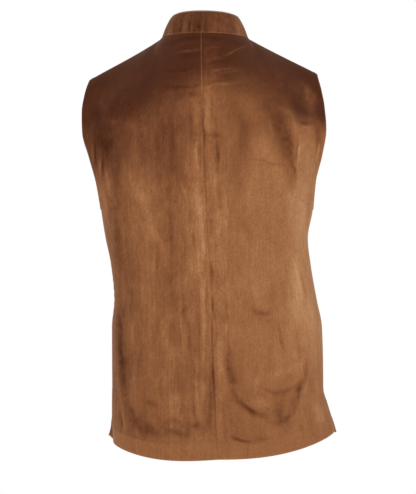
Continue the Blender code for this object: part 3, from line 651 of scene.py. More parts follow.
@dataclass(frozen=True)
class Cut:
    """The sizes of one panel's cut and the lines that follow from them."""

    face: Face
    side: Side
    neck: Neckline = Neckline()
    wall: float = 0.0018
    underarm: float = -0.288
    vent_top: float = -0.585
    vent_bottom: float = -0.6915
    vent_power: float = 1.4
    left_tip: Tuple[float, float, float] = (0.1922, 0.0, -0.0694)
    right_tip: Tuple[float, float, float] = (-0.1876, 0.0, -0.0594)
    dip_left: float = 0.0020
    dip_right: float = 0.0010
    dip_scale: float = 27.0 / 4.0
    roll_start: float = 0.30
    roll_power: int = 8
    calm_share: float = 0.3
    edge_fade: float = 0.06
    slope_step: float = 0.01
    corner_blend: float = 0.14
    corner_ease: float = 0.07
    corner_reach: float = 0.34
    shoulder_ease: float = 0.13
    approach: float = 0.70
    back_neck_slope: float = 1.60
    front_neck_slope: float = 1.30
    squareness: float = 2.5
    underarm_ease: float = 0.40
    lap: float = 0.0180
    lap_clearance: float = 0.0016
    lap_column: float = 0.064
    under_flat: float = 0.150
    under_end: float = 0.200
    back_neck_column: float = 0.42
    front_neck_column: float = 0.53

    @property
    def back(self) -> bool:
        """Whether the panel lies on the back."""
        return self.face is Face.BACK

    @property
    def left(self) -> bool:
        """Whether the panel lies on the wearer's left."""
        return self.side is Side.LEFT

    @property
    def neck_column(self) -> float:
        """The share across the panel at which its neck point lies."""
        return self.back_neck_column if self.back else self.front_neck_column

    def neck_turns(self, columns: np.ndarray) -> np.ndarray:
        """Where on the neckline each column ends.

        Args:
            columns: Shares across the panel.

        Returns:
            Angles in degrees.
        """
        corner = self.neck_column
        if self.back:
            return 90.0 * columns / corner
        past = math.degrees(math.asin(self.lap / self.neck.half_width))
        beyond = 180.0 + past * (1.0 - columns / self.lap_column)
        within = 180.0 - 90.0 * (columns - self.lap_column) / (corner - self.lap_column)
        return np.where(columns < self.lap_column, beyond, within)

    def shoulder_line(self) -> np.ndarray:
        """The shoulder seam from the neck point to the tip.

        Returns:
            Points along the seam.
        """
        t = np.linspace(0.0, 1.0, 41)[:, None]
        start = self.neck.points(np.array([90.0 * self.side.value]))[0]
        end = np.array(self.left_tip if self.left else self.right_tip)
        line = start + (end - start) * t
        dip = self.dip_left if self.left else self.dip_right
        line[:, 2] -= dip * self.dip_scale * t[:, 0] * (1.0 - t[:, 0]) ** 2
        return line

    def section_line(self, centre: np.ndarray, edge: np.ndarray) -> np.ndarray:
        """A level line of the cloth from its centre edge round to its outer edge.

        Args:
            centre: The point at the centre line.
            edge: The point at the outer edge.

        Returns:
            Points along the line, in front from the edge of the lap.
        """
        lap = 0.0 if self.back else self.lap
        depth = centre[1]
        power = self.squareness
        width = abs(edge[0] - centre[0])
        open_part = float(clamp(abs(edge[1] / depth)))
        reach = width / (1.0 - open_part**power) ** (1.0 / power)
        last = math.acos(open_part ** (power / 2.0))
        first = -math.asin((lap / reach) ** (power / 2.0)) if lap else 0.0
        angle = np.linspace(first, last, 161)
        across = np.copysign(np.abs(np.sin(angle)) ** (2.0 / power), angle)
        inward = np.abs(np.cos(angle)) ** (2.0 / power)
        share = clamp(np.abs(across) * reach / max(width, 1e-9))
        height = centre[2] + (edge[2] - centre[2]) * share**2
        x = centre[0] + self.side.value * reach * across
        return np.stack([x, depth * inward, height], axis=1)

    def centre_point(self, height: float) -> np.ndarray:
        """The point of the body's centre line at a height."""
        across, deep = ("seam_x", "back_y") if self.back else ("front_x", "front_y")
        return np.array([BODY.read(across, height), BODY.read(deep, height), height])

    def low_row(self, level: float, columns: np.ndarray) -> np.ndarray:
        """A row between the hem, level 0, and the underarm, level 1.

        Args:
            level: How far up the row lies.
            columns: Shares across the panel.

        Returns:
            One point for each column.
        """
        hem = HEMS[self.face, self.side]
        height = hem.height + (self.underarm - hem.height) * level
        fade = (1.0 - level) ** 3
        lift = hem.lift * fade
        open_share = (self.vent_top - height - lift) / (self.vent_top - self.vent_bottom)
        opening = float(clamp(open_share)) ** self.vent_power
        edge_x = BODY.read("%s_x" % self.side.name.lower(), height + lift)
        edge_x += hem.flare * opening**hem.flare_power
        centre = self.centre_point(height)
        edge = np.array([edge_x, hem.gap * opening, height])
        placed = spread(self.section_line(centre, edge), columns)
        share = clamp(np.abs(placed[:, 0] - centre[0]) / abs(edge_x - centre[0]))
        placed[:, 2] = height + lift * share**hem.power
        placed[:, 2] -= hem.dip * np.sin(np.pi * share) * fade
        return placed

    def high_row(self, climb: float, columns: np.ndarray) -> np.ndarray:
        """A row above the underarm before the shoulder is rolled over.

        Args:
            climb: 0 at the underarm and 1 at the top edge.
            columns: Shares across the panel.

        Returns:
            One point for each column.
        """
        top = self.neck.rise if self.back else -self.neck.drop
        height = self.underarm + (top - self.underarm) * climb
        depth_name = "%s_y" % self.face.value
        edge_x = ARMHOLE.read("%s_x" % self.side.name.lower(), climb)
        edge_z = ARMHOLE.read("height", climb)
        if not self.left:
            edge_z += (self.right_tip[2] - self.left_tip[2]) * float(soft_step(climb))
        centre = self.centre_point(height)
        edge = np.array([edge_x, ARMHOLE.read(depth_name, climb), edge_z])
        placed = spread(self.section_line(centre, edge), columns)
        ease = 1.0 - float(soft_step(climb / self.underarm_ease))
        if ease > 0.0:
            own_depth = np.array([BODY.read(depth_name, z) for z in placed[:, 2]])
            placed[:, 1] *= 1.0 + (own_depth / centre[1] - 1.0) * ease
        return placed

    def top_row(self, columns: np.ndarray) -> np.ndarray:
        """The top edge: the neckline up to the neck point, then the shoulder seam.

        Args:
            columns: Shares across the panel.

        Returns:
            One point for each column.
        """
        corner = self.neck_column
        inner = columns[columns <= corner + 1e-9]
        outer = columns[columns > corner + 1e-9]
        neck = self.neck.points(self.side.value * self.neck_turns(inner))
        rest = spread(self.shoulder_line(), (outer - corner) / (1.0 - corner))
        return np.concatenate([neck, rest])

    def top_slopes(self, columns: np.ndarray, goal: np.ndarray, rates: np.ndarray) -> np.ndarray:
        """How each column should run as it meets the top edge.

        Args:
            columns: Shares across the panel.
            goal: The top edge.
            rates: How the columns run before they are corrected.

        Returns:
            One direction for each column.
        """
        corner = self.neck_column
        fall = (goal[-1, 2] - goal[-4, 2]) / (goal[-1, 0] - goal[-4, 0])
        turns = np.radians(self.neck_turns(columns))
        angle = np.where(columns > corner, np.pi / 2, turns)
        steep = self.back_neck_slope if self.back else self.front_neck_slope
        climb = abs(fall) + (steep - abs(fall)) * np.cos(angle) ** 2
        flat = np.hypot(rates[:, 0], rates[:, 1]) * self.approach
        inward = np.stack([-self.side.value * np.sin(angle), -np.cos(angle), climb], axis=1)
        to_neck = inward * flat[:, None]
        over = np.stack([rates[:, 0], rates[:, 1], fall * rates[:, 0]], axis=1)
        share = soft_step((columns - corner + self.corner_blend) / (2 * self.corner_blend))
        return to_neck + (over - to_neck) * share[:, None]

    def eased_corner(
        self, line: np.ndarray, columns: np.ndarray, width: float, strength: float
    ) -> np.ndarray:
        """A row with its bend below the neck point rounded off.

        Args:
            line: The row.
            columns: Shares across the panel.
            width: How far along the row each point is averaged.
            strength: How much of the average is taken.

        Returns:
            The eased row.
        """
        gaps = (columns[None, :] - columns[:, None]) / width
        weights = np.gradient(columns)[None, :] * np.exp(-(gaps**2))
        eased = weights @ line / weights.sum(axis=1, keepdims=True)
        away = np.abs(columns - self.neck_column) / self.corner_reach
        return line + (eased - line) * (strength * soft_step(1.0 - away))[:, None]

    def panel_rows(self, columns: np.ndarray, lows: np.ndarray, highs: np.ndarray) -> np.ndarray:
        """All rows of the panel from the hem to its top edge.

        Args:
            columns: Shares across the panel.
            lows: Levels from the hem to the underarm.
            highs: Climbs from the underarm to the top edge.

        Returns:
            A grid of points, row by row.
        """
        rows = [self.low_row(level, columns) for level in lows]
        goal = self.top_row(columns)
        eased = self.eased_corner(goal, columns, self.corner_ease, 1.0)
        last = self.high_row(1.0, columns)
        before = self.high_row(1.0 - self.slope_step, columns)
        span = 1.0 - self.roll_start
        rates = (last - before) / self.slope_step
        rates[:, :2] += (goal - last)[:, :2] * (math.pi / 2 / span)
        slopes = self.top_slopes(columns, goal, rates)
        inside = soft_step((1.0 - columns) / self.edge_fade)
        turn = (rates - slopes) * inside[:, None]
        for climb in highs:
            t = float(clamp((climb - self.roll_start) / span))
            roll = 1.0 - math.cos(math.pi / 2 * t)
            loose = (1.0 - t**self.roll_power) ** 2
            row = self.high_row(climb, columns)
            aim = eased + (goal - eased) * (1.0 - loose)
            row[:, :2] += (aim - last)[:, :2] * roll
            row[:, 2] += (aim - last)[:, 2] * float(soft_step(t))
            row[:, :2] += turn[:, :2] * (span * t**5 * (1.0 - t))
            row[:, 2] += turn[:, 2] * (span * t**2 * (1.0 - t))
            calm = float(soft_step(t / self.calm_share)) * loose
            rows.append(self.eased_corner(row, columns, self.shoulder_ease, calm))
        return np.array(rows)


def grid_normals(grid: np.ndarray, turned: float) -> np.ndarray:
    """The outward direction at each point of a grid.

    Args:
        grid: Rows of points.
        turned: 1 or -1, whichever makes the directions point outward.

    Returns:
        A grid of unit vectors.
    """
    across = np.gradient(grid, axis=1)
    up = np.gradient(grid, axis=0)
    out = np.cross(across, up) * turned
    return out / np.maximum(np.linalg.norm(out, axis=2, keepdims=True), 1e-12)


class Signal:
    """A shader value that can be used in sums."""

    def __init__(self, tree: "Shade", socket: Any) -> None:
        """Wrap one output socket of a material."""
        self.tree = tree
        self.socket = socket

    def _with(self, operation: str, first: Any, second: Any) -> "Signal":
        """Add one maths node for two values or signals."""
        node = self.tree.node("ShaderNodeMath", {"operation": operation}, {0: first, 1: second})
        return Signal(self.tree, node.outputs[0])

    def __add__(self, other: Any) -> "Signal":
        """Add a value or signal."""
        return self._with("ADD", self, other)

    def __radd__(self, other: Any) -> "Signal":
        """Add this to a value."""
        return self._with("ADD", other, self)

    def __sub__(self, other: Any) -> "Signal":
        """Take a value or signal away."""
        return self._with("SUBTRACT", self, other)

    def __rsub__(self, other: Any) -> "Signal":
        """Take this away from a value."""
        return self._with("SUBTRACT", other, self)

    def __mul__(self, other: Any) -> "Signal":
        """Multiply by a value or signal."""
        return self._with("MULTIPLY", self, other)

    def __rmul__(self, other: Any) -> "Signal":
        """Multiply a value by this."""
        return self._with("MULTIPLY", other, self)

    def held(self) -> "Signal":
        """Keep the value between 0 and 1."""
        node = self.tree.node("ShaderNodeClamp", {}, {0: self})
        return Signal(self.tree, node.outputs[0])


class Shade:
    """One material and the nodes in it."""

    def __init__(self, name: str) -> None:
        """Start a material with a single shader.

        Args:
            name: The material's name.
        """
        self.material = bpy.data.materials.new(name)
        self.material.use_nodes = True
        self.nodes = self.material.node_tree.nodes
        self.links = self.material.node_tree.links
        self.shader = self.nodes["Principled BSDF"]

    def node(self, kind: str, settings: Dict[str, Any], inputs: Dict[Any, Any]) -> Any:
        """Add a node.

        Args:
            kind: The node's type.
            settings: Its settings, made first.
            inputs: A value or signal for each named or numbered input.

        Returns:
            The node.
        """
        made = self.nodes.new(kind)
        for key, value in settings.items():
            setattr(made, key, value)
        for key, value in inputs.items():
            if isinstance(value, Signal):
                self.links.new(value.socket, made.inputs[key])
            elif hasattr(value, "is_output"):
                self.links.new(value, made.inputs[key])
            else:
                made.inputs[key].default_value = value
        return made

    def place(self, stretch: Tuple[float, float, float]) -> Any:
        """The place on the object, stretched along each axis.

        Args:
            stretch: A factor for each axis.

        Returns:
            A vector socket.
        """
        source = self.node("ShaderNodeTexCoord", {}, {})
        scaled = self.node(
            "ShaderNodeVectorMath",
            {"operation": "MULTIPLY"},
            {0: source.outputs["Object"], 1: stretch},
        )
        return scaled.outputs[0]

    def noise(
        self, stretch: Tuple[float, float, float], detail: float, rough: float, twist: float = 0.0
    ) -> Signal:
        """Soft noise from 0 to 1.

        Args:
            stretch: How fine it is along each axis.
            detail: How many finer layers it has.
            rough: How strong the finer layers are.
            twist: How far it is distorted.

        Returns:
            The signal.
        """
        made = self.node(
            "ShaderNodeTexNoise",
            {},
            {
                "Vector": self.place(stretch),
                "Scale": 1.0,
                "Detail": detail,
                "Roughness": rough,
                "Distortion": twist,
            },
        )
        return Signal(self, made.outputs["Fac"])

    def crisp(self, value: Signal, start: float, steepness: float) -> Signal:
        """Keep only what is above a start, rising from there with crisp borders."""
        return ((value - start) * steepness).held()

    def weave(self, stretch: Tuple[float, float, float]) -> Signal:
        """Fine bands of thread.

        Args:
            stretch: How fine they are along each axis.

        Returns:
            The signal.
        """
        made = self.node(
            "ShaderNodeTexWave",
            {"wave_type": "BANDS", "bands_direction": "DIAGONAL"},
            {"Vector": self.place(stretch), "Scale": 1.0, "Distortion": 1.2, "Detail": 1.0},
        )
        return Signal(self, made.outputs["Fac"])

    def attribute(self, name: str) -> Signal:
        """A value stored on the mesh."""
        made = self.node("ShaderNodeAttribute", {"attribute_name": name}, {})
        return Signal(self, made.outputs["Fac"])

    def ramp(self, value: Signal, stops: Sequence[Tuple[float, Colour]]) -> Any:
        """Turn a value into a colour.

        Args:
            value: The value.
            stops: Places from 0 to 1 with a colour at each.

        Returns:
            A colour socket.
        """
        made = self.node("ShaderNodeValToRGB", {}, {0: value})
        points = made.color_ramp.elements
        while len(points) < len(stops):
            points.new(0.5)
        for point, (at, colour) in zip(points, stops):
            point.position = at
            point.color = (*colour, 1.0)
        return made.outputs[0]

    def surface(self, colour: Any, settings: Dict[str, Any]) -> None:
        """Give the shader its colour and its fixed settings.

        Args:
            colour: A colour socket.
            settings: A value for each named input.
        """
        self.links.new(colour, self.shader.inputs["Base Color"])
        for name, value in settings.items():
            self.shader.inputs[name].default_value = value

    def bump(self, height: Signal, strength: float, distance: float) -> None:
        """Feed a bump to the shader's normal.

        Args:
            height: The height signal.
            strength: How strong the bump is.
            distance: How deep it is, in metres.
        """
        made = self.node(
            "ShaderNodeBump", {}, {"Height": height, "Strength": strength, "Distance": distance}
        )
        self.links.new(made.outputs["Normal"], self.shader.inputs["Normal"])


@dataclass(frozen=True)
class PileFinish:
    """Cut pile cloth, light or dark by its stored tone: the way its pile is brushed, with painted
    shade and painted highlights.
    """

    name: str
    stops: Tuple[Tuple[float, Colour], ...]
    mottle: float = 0.50
    patches: float = 0.30
    streak: float = 0.30
    blots: float = 0.16
    hairs: float = 0.12
    grain: float = 0.34
    sheen: float = 0.10
    sheen_roughness: float = 0.5
    sheen_tint: Colour = (1.0, 0.66, 0.45)
    roughness: float = 0.95
    shine: float = 0.04

    def make(self) -> bpy.types.Material:
        """Build the material.

        Returns:
            The material.
        """
        shade = Shade(self.name)
        tone = shade.attribute("tone")
        unrest = shade.attribute("unrest")
        mottle = shade.noise((46.0, 46.0, 24.0), 5.0, 0.68, 0.5) - 0.5
        patches = shade.noise((15.0, 15.0, 8.0), 2.0, 0.5, 0.8) - 0.5
        streak = shade.noise((260.0, 260.0, 12.0), 3.0, 0.6) - 0.5
        grain = shade.noise((330.0, 330.0, 260.0), 3.0, 0.75) - 0.5
        blots = shade.crisp(shade.noise((95.0, 95.0, 42.0), 4.0, 0.7, 0.9), 0.60, 9.0)
        hairs = shade.crisp(shade.noise((400.0, 400.0, 17.0), 2.0, 0.55), 0.60, 7.0)
        uneven = mottle * self.mottle + patches * self.patches + streak * self.streak
        uneven = uneven - blots * self.blots - hairs * self.hairs
        level = tone + (uneven * unrest + grain * self.grain) * (tone * 0.8 + 0.45)
        colour = shade.ramp(level.held(), self.stops)
        settings = {
            "Roughness": self.roughness,
            "Specular IOR Level": self.shine,
            "Sheen Weight": self.sheen,
            "Sheen Roughness": self.sheen_roughness,
            "Sheen Tint": (*self.sheen_tint, 1.0),
        }
        shade.surface(colour, settings)
        fine = shade.noise((1500.0, 1500.0, 1100.0), 2.0, 0.65)
        brushed = shade.noise((420.0, 420.0, 40.0), 3.0, 0.6)
        shade.bump(fine * 0.5 + brushed * 0.8, 0.35, 0.0006)
        return shade.material


@dataclass(frozen=True)
class WovenFinish:
    """Plain woven cloth or thread."""

    name: str
    dark: Colour
    light: Colour
    threads: float = 2600.0
    roughness: float = 0.7
    shine: float = 0.3
    sheen: float = 0.1

    def make(self) -> bpy.types.Material:
        """Build the material.

        Returns:
            The material.
        """
        shade = Shade(self.name)
        weave = shade.weave((self.threads, self.threads, self.threads))
        cloud = shade.noise((60.0, 60.0, 45.0), 3.0, 0.6)
        level = weave * 0.35 + cloud * 0.65
        colour = shade.ramp(level.held(), ((0.25, self.dark), (0.75, self.light)))
        settings = {
            "Roughness": self.roughness,
            "Specular IOR Level": self.shine,
            "Sheen Weight": self.sheen,
        }
        shade.surface(colour, settings)
        shade.bump(weave * 0.6 + cloud * 0.4, 0.3, 0.0003)
        return shade.material


@dataclass(frozen=True)
class PlainFinish:
    """A plain matt surface for the floor."""

    name: str
    colour: Colour

    def make(self) -> bpy.types.Material:
        """Build the material.

        Returns:
            The material.
        """
        shade = Shade(self.name)
        cloud = shade.noise((1.5, 1.5, 1.5), 2.0, 0.5)
        dim = tuple(0.97 * part for part in self.colour)
        colour = shade.ramp(cloud, ((0.3, dim), (0.7, self.colour)))
        shade.surface(colour, {"Roughness": 0.9})
        return shade.material


def add_object(name: str, data: Any) -> bpy.types.Object:
    """Put an object with the given data in the scene."""
    made = bpy.data.objects.new(name, data)
    bpy.context.scene.collection.objects.link(made)
    return made


def smooth_faces(mesh: bpy.types.Mesh) -> None:
    """Shade all of a mesh's faces smoothly."""
    for polygon in mesh.polygons:
        polygon.use_smooth = True


def dress(piece: bpy.types.Object, nodes: Sequence[str]) -> None:
    """Fix a piece to the frame.

    Args:
        piece: The piece.
        nodes: The frame's nodes that it stands for.
    """
    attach(piece, "root")
    if nodes:
        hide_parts(*nodes)


def grid_mesh(name: str, grid: np.ndarray, flip: bool) -> bpy.types.Object:
    """Make a mesh object from a grid of points.

    Args:
        name: The object's name.
        grid: Rows of points.
        flip: Whether the faces are turned over.

    Returns:
        The object.
    """
    rows, width = grid.shape[:2]
    index = np.arange(rows * width).reshape(rows, width)
    corners = [index[:-1, :-1], index[:-1, 1:], index[1:, 1:], index[1:, :-1]]
    if flip:
        corners = corners[::-1]
    faces = np.stack(corners, axis=-1).reshape(-1, 4)
    mesh = bpy.data.meshes.new(name)
    mesh.from_pydata(grid.reshape(-1, 3).tolist(), [], faces.tolist())
    mesh.update()
    smooth_faces(mesh)
    return add_object(name, mesh)


def store_value(piece: bpy.types.Object, name: str, values: np.ndarray) -> None:
    """Keep a named value on each of the mesh's points."""
    layer = piece.data.attributes.new(name, "FLOAT", "POINT")
    layer.data.foreach_set("value", values.reshape(-1).astype(np.float32))


def thicken(piece: bpy.types.Object, wall: float) -> None:
    """Give a piece its wall, with the second material inside.

    Args:
        piece: The object.
        wall: The wall's thickness.
    """
    shell = piece.modifiers.new("cloth_wall", "SOLIDIFY")
    shell.thickness = wall
    shell.offset = -1.0
    shell.use_even_offset = True
    shell.material_offset = 1


@dataclass(frozen=True)
class BrushingAndShade:
    """How the pile lies and where shade and highlights are painted into its tone, in shares of
    light, places on the drawing and metres.
    """

    dark: float = 0.15
    slope_shade: float = 0.12
    low_place: float = 300.0
    low_reach: float = 120.0
    wander: float = 0.9
    wander_size_across: float = 0.014
    wander_size_up: float = 0.018
    flicker: float = 0.45
    flicker_size: float = 0.007
    turn_up_tone: float = 0.68
    turn_up_share: float = 0.75
    turn_up_fade: float = 0.003
    edge_light: float = 0.10
    edge_place: float = 0.002
    edge_reach: float = 0.0016
    seam_reach: float = 0.0012
    seam_shade: float = 0.05
    seam_shade_low: float = 0.10
    seam_low_places: Tuple[float, float] = (270.0, 445.0)
    seam_highlight: float = 0.30
    seam_highlight_place: float = 0.0010
    seam_highlight_end: float = 95.0
    smooth_right: float = 0.55
    smooth_top: float = 0.40
    smooth_collar: float = 0.25
    smooth_hem: float = 0.5


@dataclass
class Panel:
    """One cut panel of the body."""

    cut: Cut
    scale: MarkScale = MarkScale()
    brushing_and_shade: BrushingAndShade = BrushingAndShade()
    columns: int = 150
    near_columns: int = 24
    near_share: float = 0.085
    rows_below: int = 170
    rows_above: int = 134
    row_ease: float = 1.25
    calm_side: float = 0.012
    calm_top: float = 0.010
    seam_dip: float = 0.0004
    seam_reach: float = 0.0014
    turn_up: float = 0.0270
    turn_up_step: float = 0.0005
    turn_up_slope: float = 0.0022
    vent_facing: float = 0.022
    closing_facing: float = 0.055
    edge_roll: float = 0.0006
    edge_roll_place: float = 0.0045
    edge_roll_reach: float = 0.0028
    grid: np.ndarray = field(init=False, repr=False)

    @property
    def name(self) -> str:
        """The name shared with the frame's node."""
        return "%s_%s" % (self.cut.face.value, self.cut.side.name.lower())

    def outward(self, grid: np.ndarray) -> np.ndarray:
        """The direction away from the body at each point of a grid."""
        turned = -1.0 if self.cut.back else 1.0
        return grid_normals(grid, turned * self.cut.side.value)

    def column_shares(self) -> np.ndarray:
        """Shares across the panel, closer together at its edges.

        Returns:
            The shares.
        """
        corner = self.cut.neck_column
        first = np.linspace(0.0, self.near_share, self.near_columns + 1)
        before = int((self.columns - self.near_columns) * corner)
        inner = np.linspace(self.near_share, corner, before + 1)[1:]
        rest = self.columns - self.near_columns - before
        outer = np.linspace(corner, 1.0, rest + 1)[1:]
        edges = [0.0016, 0.9975, 0.995]
        return np.unique(np.round(np.concatenate([first, inner, outer, edges]), 6))

    def build_grid(self) -> Tuple[np.ndarray, np.ndarray]:
        """Work out the folded outer face of the panel.

        Returns:
            The grid of points and the distance of each from the panel's edges.
        """
        columns = self.column_shares()
        levels = np.linspace(0.0, 1.0, self.rows_below)
        lows = np.unique(np.concatenate([levels, [0.003, 0.006]]))
        climbs = 1.0 - (1.0 - np.linspace(0.0, 1.0, self.rows_above)) ** self.row_ease
        highs = np.unique(np.concatenate([climbs[1:], [0.994, 0.997]]))
        grid = self.cut.panel_rows(columns, lows, highs)
        normals = self.outward(grid)
        x, z = grid[..., 0], grid[..., 2]
        folds = BACK_FOLDS if self.cut.back else FRONT_FOLDS
        move = sum(fold.spread_over(x, z, self.scale) for fold in folds)
        start = np.linalg.norm(grid - grid[:, :1], axis=2)
        end = np.linalg.norm(grid - grid[:, -1:], axis=2)
        top = np.linalg.norm(grid - grid[-1:], axis=2)
        hem = np.linalg.norm(grid - grid[:1], axis=2)
        below = (np.arange(grid.shape[0]) < len(lows))[:, None]
        calm = soft_step(np.minimum(start, end) / self.calm_side)
        move = move * calm * soft_step(top / self.calm_top)
        seam = near(top, self.seam_reach)
        if self.cut.back:
            seam = seam + near(start, self.seam_reach)
        side_seam = below & (grid[:, -1:, 2] > self.cut.vent_top)
        seam = seam + near(end, self.seam_reach) * side_seam
        move = move - self.seam_dip * clamp(seam)
        step = soft_step((self.turn_up - hem) / self.turn_up_slope + 0.5)
        move = move + self.turn_up_step * step
        loose = near(end - self.edge_roll_place, self.edge_roll_reach) * (1.0 - side_seam)
        move = move + self.edge_roll * loose
        move = move - self._under_lap(columns)[None, :]
        return grid + normals * move[..., None], np.stack([start, end, top, hem])

    def _under_lap(self, columns: np.ndarray) -> np.ndarray:
        """How far the under front is set back beneath the upper one.

        Args:
            columns: Shares across the panel.

        Returns:
            A distance for each column.
        """
        if self.cut.back or self.cut.left:
            return np.zeros(columns.shape)
        span = self.cut.under_end - self.cut.under_flat
        share = soft_step((self.cut.under_end - columns) / span)
        return (self.cut.wall + self.cut.lap_clearance) * share

    def tone(self, grid: np.ndarray, edges: np.ndarray) -> np.ndarray:
        """How light the pile is painted at each point: its brushing, with painted shade and
        painted highlights.

        Args:
            grid: The folded points.
            edges: Distances from the panel's edges.

        Returns:
            Tones from 0, dark, to 1, light.
        """
        brush_and_shade = self.brushing_and_shade
        x, z = grid[..., 0], grid[..., 2]
        u, v = self.scale.drawing(grid)
        across = np.linspace(75.0, 335.0, 131)
        read = {
            name: np.interp(u, across, [SHADE.read(name, place) for place in across])
            for name in SHADE.columns[1:]
        }
        # Dark shoulders easing to the light lower back: partly brushed pile, partly painted shade
        # at the top and painted sheen toward the sides
        first = soft_step((v - read["dark_v"]) / (read["mid_v"] - read["dark_v"]))
        second = soft_step((v - read["mid_v"]) / (read["light_v"] - read["mid_v"]))
        third = soft_step((v - brush_and_shade.low_place) / brush_and_shade.low_reach)
        tone = brush_and_shade.dark + (read["mid"] - brush_and_shade.dark) * first
        tone = tone + (read["light"] - read["mid"]) * second
        tone = tone + (read["low"] - read["light"]) * third
        # Painted shade: the pile is darker where the cloth faces upward
        tone = tone - brush_and_shade.slope_shade * self.outward(grid)[..., 2]
        marks = BACK_MARKS if self.cut.back else FRONT_MARKS
        wander = self.scale.step * brush_and_shade.wander
        moved_x = x + wander * drift(x, z, brush_and_shade.wander_size_across, 11)
        moved_z = z + 2.0 * wander * drift(x, z, brush_and_shade.wander_size_up, 12)
        # Marks in the tone: brushed pile, with painted shade in fold troughs, painted highlights
        # on fold ridges and edges, and on the back a painted shadow below the collar
        brushed = sum(mark.spread_over(moved_x, moved_z, self.scale) for mark in marks)
        tone = tone + brushed * (1.0 + brush_and_shade.flicker * drift(x, z, brush_and_shade.flicker_size, 13))
        start, end, _, hem = edges
        calm = soft_step((self.turn_up - hem) / brush_and_shade.turn_up_fade + 0.5)
        tone = tone + calm * (brush_and_shade.turn_up_tone - tone) * brush_and_shade.turn_up_share
        # Painted highlights along the hem and along the rolled outer edge
        tone = tone + brush_and_shade.edge_light * near(hem, brush_and_shade.edge_reach)
        tone = tone + brush_and_shade.edge_light * near(end - brush_and_shade.edge_place, brush_and_shade.edge_reach)
        if self.cut.back:
            tone = tone + self.seam_tone(v, start)
        return clamp(tone, 0.02, 0.98)

    def seam_tone(self, v: np.ndarray, start: np.ndarray) -> np.ndarray:
        """The painted shade along the centre-back seam and the painted highlight beside it near
        the top, added to the pile's tone.

        Args:
            v: How far down the drawing each point lies.
            start: Distances from the seam.

        Returns:
            Tones to add, below 0 where shade is painted along the seam.
        """
        brush_and_shade = self.brushing_and_shade
        low, high = brush_and_shade.seam_low_places
        thin = soft_step((v - low) / 50.0) * soft_step((high - v) / 20.0)
        # Painted shade along the seam's groove, stronger low on the back
        shade = (brush_and_shade.seam_shade + brush_and_shade.seam_shade_low * thin) * near(start, brush_and_shade.seam_reach)
        if not self.cut.left:
            return -shade
        # Painted highlight beside the seam near the top
        bright = soft_step((brush_and_shade.seam_highlight_end - v) / 12.0)
        light = near(start - brush_and_shade.seam_highlight_place, brush_and_shade.seam_reach)
        return brush_and_shade.seam_highlight * bright * light - shade

    def unrest(self, grid: np.ndarray) -> np.ndarray:
        """How mottled the pile lies at each point, most on the wearer's left.

        Args:
            grid: The folded points.

        Returns:
            Amounts from 0, smooth, to 1, mottled.
        """
        u, v = self.scale.drawing(grid)
        brush_and_shade = self.brushing_and_shade
        amount = 1.0 - brush_and_shade.smooth_right * soft_step((u - self.scale.middle_u) / 45.0)
        amount = amount * (1.0 - brush_and_shade.smooth_top * soft_step((105.0 - v) / 40.0))
        by_collar = 1.0 - brush_and_shade.smooth_collar + brush_and_shade.smooth_collar * soft_step((v - 60.0) / 50.0)
        return amount * by_collar * (1.0 - brush_and_shade.smooth_hem * soft_step((v - 436.0) / 6.0))

    def turned_in(self, grid: np.ndarray, edges: np.ndarray) -> np.ndarray:
        """Where the reverse is covered by cloth turned in at an edge.

        Args:
            grid: The folded points.
            edges: Distances from the panel's edges.

        Returns:
            True or False for each point.
        """
        start, end, _, hem = edges
        beside_vent = (grid[..., 2] < self.cut.vent_top) & (end < self.vent_facing)
        closing = (start < self.closing_facing) & (not self.cut.back)
        return (hem < self.turn_up) | beside_vent | closing

    def build(self, pile: bpy.types.Material, inside: bpy.types.Material) -> bpy.types.Object:
        """Make the panel.

        Args:
            pile: The outer material.
            inside: The material of the reverse.

        Returns:
            The object.
        """
        grid, edges = self.build_grid()
        piece = grid_mesh(self.name + "_cloth", grid, self.cut.back == self.cut.left)
        store_value(piece, "tone", self.tone(grid, edges))
        store_value(piece, "unrest", self.unrest(grid))
        for material in (pile, inside, pile, pile):
            piece.data.materials.append(material)
        turned_in = self.turned_in(grid, edges)[:-1, :-1].reshape(-1)
        piece.data.polygons.foreach_set("material_index", np.where(turned_in, 2, 0))
        thicken(piece, self.cut.wall)
        dress(piece, [self.name])
        self.grid = grid
        LOG.info("%s: %d by %d points", self.name, grid.shape[0], grid.shape[1])
        return piece


